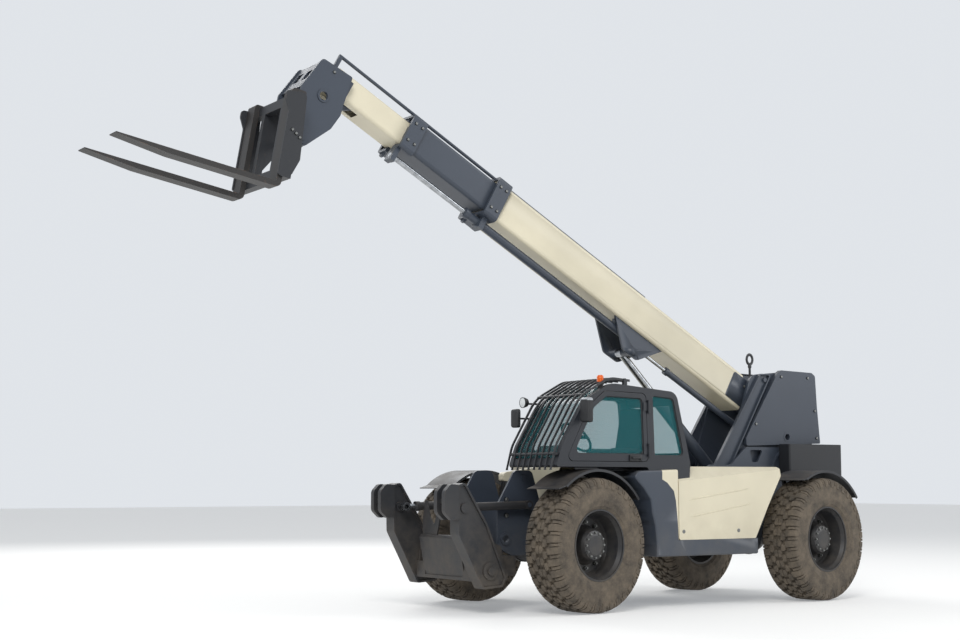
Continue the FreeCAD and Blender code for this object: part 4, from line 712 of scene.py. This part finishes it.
# how far out each plate's outer face lies
COLLAR_Y, COLLAR_Z, MID_COLLAR_Y, MID_COLLAR_Z = 0.2423, 0.1873, 0.2180, 0.1630
ARM_Y, HEAD_Y, FORK_Y, TOWER_Y, NOSE_Y = 0.2220, 0.2450, 0.4800, 0.3450, 0.3550
SCREW_ROWS = both_sides([
    # body, frame, looking, first head, step, copies, head
    ("boom", ON_BOOM, "+Y", (4.340, COLLAR_Y, -0.150), (0, 0, 0.240), 2, M16),
    ("boom", ON_BOOM, "+Y", (4.415, COLLAR_Y, -0.150), (0, 0, 0.240), 2, M16),
    ("boom", ON_BOOM, "+Z", (4.340, 0.105, COLLAR_Z), (0.075, 0, 0), 2, M16),
    ("boom", ON_BOOM, "+Y", (0.500, ARM_Y, 0.040), (0.110, 0, 0), 3, M16),
    ("boom_middle", ON_BOOM, "+Y", (5.425, MID_COLLAR_Y, -0.120), (0, 0, 0.190), 2, M16),
    ("boom_middle", ON_BOOM, "+Y", (5.505, MID_COLLAR_Y, -0.120), (0, 0, 0.190), 2, M16),
    ("boom_middle", ON_BOOM, "+Z", (5.425, 0.105, MID_COLLAR_Z), (0.080, 0, 0), 2, M16),
    ("boom_inner", ON_BOOM, "+Y", (6.470, HEAD_Y, -0.055), (0, 0, 0), 1, M16),
    ("fork_frame", HERE, "+Y", (4.341, FORK_Y, 4.329), (-0.036, 0, -0.032), 3, M16),
    ("machine", HERE, "+Y", (-1.695, TOWER_Y, 2.360), (-0.400, 0, 0.0), 2, M16),
    ("machine", HERE, "+Y", (-2.215, TOWER_Y, 1.700), (0.020, 0, 0.300), 2, M16),
    ("machine", HERE, "+Y", (-1.310, TOWER_Y, 1.840), (0.0, 0, 0.0), 1, M16),
    ("machine", HERE, "+Y", (1.960, NOSE_Y, 0.900), (0, 0, 0.075), 3, M24),
    ("machine", HERE, "+Y", (1.640, NOSE_Y, 0.600), (0, 0, 0.080), 3, M24),
])
screws = {}
for body, frame_of, looking, start, step, copies, head in SCREW_ROWS:
    mesh = in_line(head, looking, start, step, copies, BOLT)
    mesh.transform(frame_of)
    screws.setdefault(body, []).append(mesh)
for body, meshes in screws.items():
    keep_on(body, joined(meshes, "screws_" + body), "screws_" + body, [BOLT])
print("screw rows", len(SCREW_ROWS), "on", sorted(screws))

# %% [markdown]
# ## Pipes along the boom
# Oil reaches the head through steel pipes clamped along the outer section's top, because a hose would
# chafe there. Each pipe is a round section carried along a bent line. The line is a spline of the
# third order, which rounds its corners as a pipe bender would.

# %% Bent pipes


def swept(points, radius, name, closed=False):
    """Smooth capped tube along points, or a closed bead that keeps its corners."""
    curve = bpy.data.curves.new(name, "CURVE")
    curve.dimensions = "3D"
    curve.bevel_depth = radius
    curve.bevel_resolution = 2 if closed else 3
    curve.resolution_u = 8
    curve.use_fill_caps = not closed
    spline = curve.splines.new("POLY" if closed else "NURBS")
    spline.points.add(len(points) - 1)
    for point, place in zip(spline.points, points):
        point.co = (*place, 1.0)
    spline.order_u = 3
    spline.use_endpoint_u = not closed
    spline.use_cyclic_u = closed
    return smoothed(plain_mesh(curve))


def soft_box(size, bevel, name):
    """Box centred on the origin with rounded edges."""
    work = bmesh.new()
    bmesh.ops.create_cube(work, size=1.0)
    bmesh.ops.scale(work, vec=size, verts=work.verts)
    bmesh.ops.bevel(work, geom=work.edges[:], offset=bevel, segments=3, affect="EDGES", profile=0.5)
    return smoothed(to_mesh(work, name), 35)


def placed(mesh, place):
    """A moved copy of a mesh; place is a matrix or a point."""
    copy = mesh.copy()
    copy.transform(as_matrix(place))
    return copy


BOOM_TOP = 0.155
PIPE_R, PIPE_Z, PIPE_END, PIPE_YS = 0.009, BOOM_TOP + 0.012, 4.240, (-0.050, -0.082, -0.114)
SADDLE_START, SADDLE_STEP, SADDLES, SADDLE_TOP = 1.050, 0.440, 8, BOOM_TOP + 0.025
M8 = hex_nut(0.013, 0.008, 0.004, 0.002)
pipes = [swept([(0.800, y, BOOM_TOP + 0.060), (0.812, y, BOOM_TOP + 0.034), (0.860, y, PIPE_Z),
                (1.000, y, PIPE_Z), (PIPE_END, y, PIPE_Z)], PIPE_R, "boom_pipe") for y in PIPE_YS]
keep_on("boom", joined(pipes, "boom_pipes"), "boom_pipes", [BOLT], ON_BOOM)
clamp = soft_box((0.030, 0.120, 0.026), 0.005, "saddle")
clamp_nuts = [placed(M8, Matrix.Translation((0, y, SADDLE_TOP)) @ LOOKING["+Z"]) for y in (-0.066, -0.098)]
saddle = joined([placed(clamp, (0, PIPE_YS[1], PIPE_Z))] + clamp_nuts, "pipe_saddle")
saddles = in_line(saddle, "+Y", (SADDLE_START, 0, 0), (SADDLE_STEP, 0, 0), SADDLES, PLASTIC)
keep_on("boom", saddles, "pipe_saddles", [PLASTIC], ON_BOOM)
print("pipes", len(pipes), "saddles", SADDLES)

# %% [markdown]
# ## Lifting eye behind the boom
# A black eye on a short stalk stands on the boom's arm, just behind the cream box. It is a forged
# ring on a round shank with a collar, so both are turned and not cut from plate. It stands outside
# the arm's inner face, because the middle section runs back between the arms.

# %% Stalk and ring


def torus(radius, thickness, stretch, name):
    """Upright ring in the XZ plane, longer in Z by stretch."""
    turns = [2 * math.pi * i / 10 for i in range(10)]
    mesh = lathe(name, [(radius + thickness * math.cos(b), thickness * math.sin(b)) for b in turns], 32)
    mesh.transform(Matrix.Diagonal((1.0, 1.0, stretch, 1.0)))
    return smoothed(mesh)


def turned(profile, steps, name, axis="+Z"):
    """Solid of revolution from (radius, height) points, standing along an axis."""
    work = bmesh.new()
    line = [work.verts.new((r, 0, h)) for r, h in profile]
    edges = [work.edges.new(pair) for pair in zip(line, line[1:])]
    bmesh.ops.spin(work, geom=line + edges, cent=(0, 0, 0), axis=(0, 0, 1), dvec=(0, 0, 0),
                   angle=2 * math.pi, steps=steps)
    bmesh.ops.remove_doubles(work, verts=work.verts, dist=WELD)
    bmesh.ops.recalc_face_normals(work, faces=work.faces)
    mesh = to_mesh(work, name)
    mesh.transform(LOOKING[axis] @ LOOKING["+Z"].inverted())
    return smoothed(mesh, 35)


STALK = row(-1.350, 0.220, 2.275)
EYE_R, EYE_T, EYE_STRETCH, EYE_UP = 0.042, 0.013, 1.25, 0.268
stalk_profile = [(0.0, -0.02), (0.020, -0.02), (0.020, 0.0), (0.016, 0.02), (0.013, 0.05), (0.013, 0.17),
                 (0.020, 0.185), (0.020, 0.200), (0.012, 0.215), (0.0, 0.215)]
stalk = joined([turned(stalk_profile, 20, "stalk"),
                placed(torus(EYE_R, EYE_T, EYE_STRETCH, "eye"), (0, 0, EYE_UP))], "lifting_eye")
keep_on("boom", stalk, "lifting_eye", [BLACK], STALK)
print("eye top at", round(STALK.z + EYE_UP + (EYE_R + EYE_T) * EYE_STRETCH, 3))

# %% [markdown]
# ## The swept edge between cream and slate
# Behind the front wheel the cream reaches forward in a curve over the dark bodywork. It is paint on
# one panel, so a copy of that panel is cut along the curve's chords, without moving a point of its
# surface, and the faces behind the curve turn cream.

# %% Two-tone side body
# x and height of the painted edge, from the skirt up
SWEEP = [(0.447, 0.661), (0.461, 0.860), (0.479, 1.035), (0.503, 1.131), (0.585, 1.211), (0.647, 1.243)]
ABOVE_PANEL, OUTER_SKIN_Y = 1.4, 1.0


def sweep_x(height):
    """Where the painted edge lies at a height."""
    if height >= SWEEP[-1][1]:
        return SWEEP[-1][0]
    for (x0, z0), (x1, z1) in zip(SWEEP, SWEEP[1:]):
        if height <= z1:
            return x0 + (x1 - x0) * max(0.0, height - z0) / (z1 - z0)


side_mesh = merged_copy("body_left", "two_tone_side")
side_work = bmesh.new()
side_work.from_mesh(side_mesh)
for (x0, z0), (x1, z1) in zip(SWEEP, SWEEP[1:] + [(SWEEP[-1][0], ABOVE_PANEL)]):
    for point, across in ((row(x0, 0, z0), (z1 - z0, 0, x0 - x1)), ((0, 0, z0), (0, 0, 1))):
        everything = side_work.verts[:] + side_work.edges[:] + side_work.faces[:]
        bmesh.ops.bisect_plane(side_work, geom=everything, plane_co=point, plane_no=across, dist=1e-6)
side_work.to_mesh(side_mesh)
side_work.free()
side_body = keep_on("machine", smoothed(side_mesh, 30), "two_tone_side", [SLATE, CREAM])
for polygon in side_mesh.polygons:
    x, y, z = polygon.center
    behind = x + MIDDLE_X < sweep_x(z) and z > SWEEP[0][1] and y > OUTER_SKIN_Y
    polygon.material_index = 1 if behind else 0
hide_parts("body_left")
print("cream faces", sum(p.material_index for p in side_mesh.polygons))

# %% [markdown]
# ## Window seals and door furniture
# Every pane sits in a black rubber seal. The seal's line isn't drawn again: it is read off the pane
# itself, as the edges where its flat face ends, so glass and seal can't part when a size changes.

# %% Seals round the flat panes
SEAL_R = 0.009


def pane_edges(node):
    """Closed loops of points round each flat pane's outer face."""
    work = bmesh.new()
    work.from_mesh(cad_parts[node].data)
    bmesh.ops.remove_doubles(work, verts=work.verts, dist=WELD)
    work.normal_update()
    flat = {f for f in work.faces if f.normal.y > 0.99}
    after = {}
    for edge in work.edges:
        if sum(f in flat for f in edge.link_faces) == 1:
            for a, b in (edge.verts, reversed(edge.verts)):
                after.setdefault(a.index, []).append(b.index)
    places = {v.index: v.co.copy() for v in work.verts}
    work.free()
    loops, seen = [], set()
    for first in after:
        if first in seen:
            continue
        loop, here = [], first
        while here is not None:
            seen.add(here)
            loop.append(places[here])
            here = next((n for n in after[here] if n not in seen), None)
        loops.append(loop)
    # a pane with round corners has more points than this
    return [loop for loop in loops if len(loop) > 8]


fixed_loops = pane_edges("cab_glass")
outer_y = max(point.y for loop in fixed_loops for point in loop)
near_loops = [loop for loop in fixed_loops if max(p.y for p in loop) > outer_y - 0.002]
door_loops = pane_edges("door_glass")
for body, name, loops in (("machine", "quarter_seal", near_loops), ("cab_door", "door_seal", door_loops)):
    seal = joined([swept(loop, SEAL_R, name, closed=True) for loop in loops], name)
    keep_on(body, seal, name, [PLASTIC])
print("seals", len(near_loops), len(door_loops))

# %% Door handle
CAB_SIDE = 1.080
DOOR_HANDLE_AT = row(0.960, CAB_SIDE + 0.008, 1.445)
key_profile = [(0, -0.006), (0.012, -0.006), (0.012, 0.005), (0.009, 0.009), (0, 0.009)]
handle = joined([
    soft_box((0.150, 0.014, 0.060), 0.006, "handle_plate"),
    placed(soft_box((0.110, 0.020, 0.024), 0.008, "handle_grip"), (0.006, 0.020, 0.004)),
    placed(turned(key_profile, 20, "lock", "+Y"), (-0.052, 0.010, -0.010)),
], "door_handle")
keep_on("cab_door", handle, "door_handle", [PLASTIC], DOOR_HANDLE_AT)
print("door handle at", [round(v, 3) for v in DOOR_HANDLE_AT])

# %% [markdown]
# ## Lamps
# The beacon is a ribbed amber dome on a black foot. The work lamp is a cast shell with a clear lens in
# a bezel, and the rear lamps are red and amber lenses in a dark tray. All round pieces are turned.

# %% Beacon
BEACON_AT = row(1.320, CAB_SIDE - 0.075, 0)
DOME_RIBS, RIB_STEP, FIRST_RIB = 6, 0.007, 2.176
beacon_foot = turned([(0, 2.092), (0.028, 2.092), (0.028, 2.138), (0.037, 2.140), (0.037, 2.160),
                      (0.034, 2.164), (0, 2.164)], 24, "beacon_foot")
keep_on("machine", beacon_foot, "beacon_foot", [PLASTIC], BEACON_AT)
dome_profile = [(0, 2.163), (0.031, 2.163), (0.0325, 2.172)]
for rib in range(DOME_RIBS):
    crest = FIRST_RIB + rib * RIB_STEP
    dome_profile += [(0.0335, crest), (0.0318, crest + RIB_STEP / 2)]
dome_profile += [(0.031, 2.218), (0.026, 2.227), (0.014, 2.2315), (0, 2.232)]
dome = turned(dome_profile, 32, "beacon_dome")
beacon_dome = keep_on("machine", dome, "beacon_dome", [AMBER], BEACON_AT)
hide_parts("lamps")
print("dome profile points", len(dome_profile))

# %% Work lamp
LAMP_AT = row(1.740, 0.315, 1.985)
shell_profile = [(0, -0.062), (0.026, -0.062), (0.040, -0.050), (0.049, -0.024), (0.052, -0.006),
                 (0.052, 0.0), (0.047, 0.0), (0.047, -0.006), (0.0, -0.006)]
lens_profile = [(0, -0.0055), (0.0465, -0.0055), (0.0465, -0.002), (0.030, 0.0), (0, 0.001)]
arm_nut = hex_nut(0.013, 0.006, 0.003, 0.001)
work_shell = joined([
    turned(shell_profile, 28, "work_shell", "+X"),
    placed(soft_box((0.200, 0.0195, 0.018), 0.003, "work_arm"), (-0.150, -0.0152, -0.010)),
    placed(arm_nut, Matrix.Translation((-0.232, -0.025, -0.010)) @ LOOKING["-Y"]),
], "work_lamp")
keep_on("machine", work_shell, "work_lamp", [PLASTIC], LAMP_AT)
keep_on("machine", turned(lens_profile, 28, "work_lens", "+X"), "work_lens", [CLEAR], LAMP_AT)
print("work lamp at", [round(v, 3) for v in LAMP_AT])

# %% Rear lamps
REAR_LAMP, BALLAST_LAMP_Y = row(-2.433, 0, 1.440), 0.393
for side, name in ((1, "left"), (-1, "right")):
    middle = REAR_LAMP + Vector((0, side * BALLAST_LAMP_Y, 0))
    tray = soft_box((0.0265, 0.130, 0.080), 0.006, "tray")
    keep_on("machine", tray, "rear_tray_" + name, [PLASTIC], middle)
    for shift, width, finish, tone in ((-0.029, 0.058, RED, "red"), (0.032, 0.050, AMBER, "amber")):
        glass = soft_box((0.010, width, 0.066), 0.004, "rear_lens")
        keep_on("machine", glass, "rear_%s_%s" % (tone, name), [finish],
                middle + Vector((-0.0125, side * shift, 0)))
print("rear lamps at y", BALLAST_LAMP_Y)

# %% [markdown]
# ## Mirrors
# A mirror is a moulded shell, fuller at its back, with a flat glass set in from the driver's side. The
# near one's upper part is painted pale silver grey with a slight sheen, a painted reflection of the sky on
# its top; the far one is black all over.

# %% Mirror shells
SIDE_ROUND, BACK_ROUND, BEZEL, GLASS_IN = 0.026, 0.020, 0.007, 0.006
SHEEN_LOW, SHEEN_FRONT = 0.010, -0.026  # the lower and front edge of the painted sky reflection, from the shell's middle


def mirror_shell(size, name):
    """Shell with its full back to +X and an open face to -X for the glass."""
    depth = size[0]
    work = bmesh.new()
    bmesh.ops.create_cube(work, size=1.0)
    bmesh.ops.scale(work, vec=size, verts=work.verts)
    along = [e for e in work.edges if abs(e.verts[0].co.x - e.verts[1].co.x) > depth / 2]
    bmesh.ops.bevel(work, geom=along, offset=SIDE_ROUND, segments=4, affect="EDGES", profile=0.5)
    back = [e for e in work.edges if all(v.co.x > depth * 0.49 for v in e.verts)
            and len({round(f.normal.x, 1) for f in e.link_faces}) > 1]
    bmesh.ops.bevel(work, geom=back, offset=BACK_ROUND, segments=4, affect="EDGES", profile=0.5)
    front = [f for f in work.faces if f.normal.x < -0.99]
    bmesh.ops.inset_region(work, faces=front, thickness=BEZEL)
    bmesh.ops.translate(work, verts=list({v for f in front for v in f.verts}), vec=(GLASS_IN, 0, 0))
    return smoothed(to_mesh(work, name), 40)


NEAR_MIRROR, NEAR_SIZE = row(1.6175, 1.1725, 1.885), (0.055, 0.135, 0.230)
FAR_MIRROR, FAR_SIZE = row(1.8225, 0.314, 1.830), (0.045, 0.112, 0.180)
near_shell = keep_on("machine", mirror_shell(NEAR_SIZE, "near_mirror"), "near_mirror",
                     [PLASTIC, PAINTED_SKY_SHEEN], NEAR_MIRROR)
# the near shell's upper faces take the painted sky reflection; the rest stays black plastic
for polygon in near_shell.data.polygons:
    at = polygon.center - NEAR_MIRROR
    polygon.material_index = 1 if at.z > SHEEN_LOW and at.x > SHEEN_FRONT else 0
keep_on("machine", mirror_shell(FAR_SIZE, "far_mirror"), "far_mirror", [PLASTIC], FAR_MIRROR)
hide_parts("mirrors")
print("shell faces", len(near_shell.data.polygons))

# %% Mirror arms and glasses
NEAR_ARM_Z, FAR_ARM_Z, NEAR_ARM_X, ARM_R = 1.880, 1.830, 1.576, 0.009
near_line = [(NEAR_ARM_X, 1.0803), (NEAR_ARM_X, 1.105), (NEAR_ARM_X, 1.130), (1.592, 1.132), (1.600, 1.132)]
arms = joined([
    swept([(x, y, NEAR_ARM_Z) for x, y in near_line], ARM_R, "near_arm"),
    placed(soft_box((0.034, 0.012, 0.050), 0.004, "near_foot"), (NEAR_ARM_X, 1.087, NEAR_ARM_Z)),
    placed(soft_box((0.222, 0.020, 0.018), 0.005, "far_arm"), (1.691, 0.2975, FAR_ARM_Z)),
    placed(soft_box((0.050, 0.014, 0.050), 0.004, "far_foot"), (1.606, 0.3025, FAR_ARM_Z)),
], "mirror_arms")
keep_on("machine", arms, "mirror_arms", [PLASTIC], HERE)
for name, middle, (depth, width, height) in (("near_glass", NEAR_MIRROR, NEAR_SIZE),
                                             ("far_glass", FAR_MIRROR, FAR_SIZE)):
    plate = soft_box((0.003, width - 0.016, height - 0.016), 0.001, name)
    keep_on("machine", plate, name, [MIRROR], middle + Vector((-depth / 2 + 0.0065, 0, 0)))
print("mirror arms and glasses", 2)

# %% [markdown]
# ## The driver's seat
# The solid only gives the seat's size. The real one is foam under a woven cover: it swells between
# its seams and has bolsters at the sides. A cushion pressed out of a flat grid keeps that size, and
# a dip between its bolsters lets it look sat in.

# %% Cushions
SEAT_MIDDLE, SEAT_X, BACK_LEAN = 0.695, 0.880, math.radians(11)
SEAMS, SEAM_WIDTH, SEAM_DEPTH = (-0.24, 0.02, 0.28), 0.018, 0.10


def cushion(size, bolster, name):
    """Rounded pad, its top hollowed between two bolsters, seams pressed in across it."""
    work = bmesh.new()
    bmesh.ops.create_grid(work, x_segments=24, y_segments=22, size=0.5)
    for vert in work.verts:
        x, y = vert.co.x, vert.co.y
        edge = max(abs(x), abs(y)) * 2
        crown = (1 - edge ** 6) ** 0.5 if edge < 1 else 0.0
        side = max(0.0, abs(y) * 2 - 0.62) / 0.38
        seam = SEAM_DEPTH * sum(math.exp(-((x - at) / SEAM_WIDTH) ** 2) for at in SEAMS) * (1 - side)
        dip = bolster * (1 - min(1.0, side * 2)) * crown
        vert.co = (x * size[0], y * size[1], size[2] * (0.5 + 0.5 * crown - dip - seam * crown * 0.5))
    made = bmesh.ops.extrude_face_region(work, geom=work.faces[:])
    for vert in made["geom"]:
        if isinstance(vert, bmesh.types.BMVert):
            vert.co = (vert.co.x * 0.97, vert.co.y * 0.97, 0.0)
    bmesh.ops.recalc_face_normals(work, faces=work.faces)
    return smoothed(to_mesh(work, name))


seat_base = keep_on("machine", cushion((0.470, 0.420, 0.100), 0.16, "seat_cushion"),
                    "seat_cushion", [SEAT], row(SEAT_X, SEAT_MIDDLE, 1.452))
back_place = (Matrix.Translation(row(0.722, SEAT_MIDDLE, 1.700))
              @ Matrix.Rotation(-math.pi / 2 - BACK_LEAN, 4, "Y") @ Matrix.Rotation(math.pi, 4, "Z"))
seat_back = keep_on("machine", cushion((0.490, 0.380, 0.085), 0.18, "seat_back"),
                    "seat_back", [SEAT], back_place)
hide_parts("seat")
print("seat cushions", 2)

# %% Bellows under the seat
FOLDS, FOLD_STEP, OUT_R, IN_R = 3, 0.014, 0.165, 0.150
bellows_profile = [(0.0, 1.402), (OUT_R, 1.402)]
for fold in range(FOLDS):
    crest = 1.408 + fold * FOLD_STEP
    bellows_profile += [(OUT_R, crest), (IN_R, crest + FOLD_STEP / 2)]
bellows_profile += [(OUT_R, 1.452), (0.0, 1.452)]
keep_on("machine", turned(bellows_profile, 32, "seat_bellows"), "seat_bellows", [PLASTIC],
        row(SEAT_X, SEAT_MIDDLE, 0))
print("bellows folds", FOLDS)

# %% [markdown]
# ## Covers and hood
# The cream cover has two swage lines pressed across it, one above the other, and quarter-turn
# locks at its edge. The lines stand a few millimetres proud with soft edges, so they catch light
# as pressed ones do; cutting them in would mean changing the solid, and this script never does.

# %% Swage lines
COVER_Y, SWAGE_TALL, SWAGE_RISE, SUNK, FLUSH = 1.104, 0.010, 0.005, 0.004, 0.0001


def swage(first, last, name):
    """Low ridge between two points of a cover's face: a tapered bar with sloping sides."""
    (x0, z0), (x1, z1) = first, last
    work = bmesh.new()
    rings = []
    for share, tall, out in ((0.0, 0.003, 0.0003), (0.06, SWAGE_TALL, SWAGE_RISE),
                             (0.94, SWAGE_TALL, SWAGE_RISE), (1.0, 0.003, 0.0003)):
        x, z = x0 + (x1 - x0) * share, z0 + (z1 - z0) * share
        rings.append([work.verts.new((x, COVER_Y + y, z + dz)) for y, dz in (
            (-SUNK, -tall), (FLUSH, -tall), (out, -tall * 0.15), (out, tall * 0.15),
            (FLUSH, tall * 0.6), (-SUNK, tall * 0.6))])
    skin(work, rings)
    bmesh.ops.recalc_face_normals(work, faces=work.faces)
    return to_mesh(work, name)


lines = joined([swage((0.316, 1.045), (-0.487, 1.156), "upper_swage"),
                swage((0.296, 0.881), (-0.508, 1.005), "lower_swage")], "swage_lines")
keep_on("machine", lines, "swage_lines", [CREAM], HERE)
print("swage faces", len(lines.polygons))

# %% Cover locks and hood handle
LOCK_XS, LOCK_Z, HOOD_HANDLE_X = (0.385, -0.330), 0.740, -0.140
lock_profile = [(0, -0.002), (0.019, -0.002), (0.019, 0.002), (0.015, 0.005), (0, 0.005)]
lock_head = turned(lock_profile, 20, "lock", "+Y")
locks = joined([placed(lock_head, (x, COVER_Y, LOCK_Z)) for x in LOCK_XS], "cover_locks")
keep_on("machine", locks, "cover_locks", [BOLT], HERE)
hood_lock = joined([
    placed(soft_box((0.150, 0.012, 0.050), 0.005, "hood_plate"), (HOOD_HANDLE_X, -COVER_Y - 0.003, 0.800)),
    placed(soft_box((0.100, 0.014, 0.018), 0.006, "hood_grip"), (HOOD_HANDLE_X, -COVER_Y - 0.010, 0.805)),
], "hood_handle")
keep_on("engine_hood", hood_lock, "hood_handle", [PLASTIC], HERE)
print("cover locks", len(LOCK_XS))

# %% [markdown]
# ## Floor and light
# A pale floor that runs out of sight, a pale sky that the camera sees as white, and three large soft
# lamps. Shadows stay soft, so the form reads from every side.

# %% Floor
FLOOR_HALF = 60
corners = [(x * FLOOR_HALF, y * FLOOR_HALF, 0) for x, y in ((-1, -1), (1, -1), (1, 1), (-1, 1))]
floor_mesh = bpy.data.meshes.new("studio_floor")
floor_mesh.from_pydata(corners, [], [(0, 1, 2, 3)])
floor = bpy.data.objects.new("studio_floor", floor_mesh)
bpy.context.scene.collection.objects.link(floor)
floor_finish, floor_tree, floor_shader, floor_place = new_finish("pale_studio_floor")
floor_shader.inputs["Base Color"].default_value = paint_hex("E4E2DE")
floor_shader.inputs["Roughness"].default_value = 0.9
floor_shader.inputs["Emission Color"].default_value = paint_hex("E9EDF2")
floor_shader.inputs["Emission Strength"].default_value = 0.30
floor_mesh.materials.append(floor_finish)
print("floor", 2 * FLOOR_HALF, "m wide")

# %% Sky and lamps
world = bpy.data.worlds.new("studio_world")
bpy.context.scene.world = world
world.use_nodes = True
world_tree = world.node_tree
ray = add_node(world_tree, "ShaderNodeLightPath").outputs
seen = ray["Is Camera Ray"]
for other_ray in ("Is Glossy Ray", "Is Transmission Ray"):
    seen = add_node(world_tree, "ShaderNodeMath", {0: seen, 1: ray[other_ray]},
                    operation="MAXIMUM").outputs[0]
background = world_tree.nodes["Background"]
background.inputs["Color"].default_value = paint_hex("E9EDF2")
strength = add_node(world_tree, "ShaderNodeMapRange", {"Value": seen, "To Min": 0.55, "To Max": 0.92})
world_tree.links.new(strength.outputs["Result"], background.inputs["Strength"])
AIM = Vector((0.0, 0.0, 1.8))


def softbox(name, place, size, power):
    """Square lamp that looks at the machine's middle."""
    lamp_data = bpy.data.lights.new(name, "AREA")
    lamp_data.size = size
    lamp_data.energy = power
    lamp = bpy.data.objects.new(name, lamp_data)
    lamp.location = place
    lamp.rotation_euler = (AIM - Vector(place)).to_track_quat("-Z", "Y").to_euler()
    bpy.context.scene.collection.objects.link(lamp)


softbox("key_lamp", (9.0, 11.0, 12.0), 7.0, 1500.0)
softbox("fill_lamp", (-12.0, 9.0, 8.0), 8.0, 700.0)
softbox("rim_lamp", (-3.0, -13.0, 10.0), 8.0, 900.0)
bpy.context.scene.view_settings.view_transform = "Standard"
print("lamps", len(bpy.data.lights))
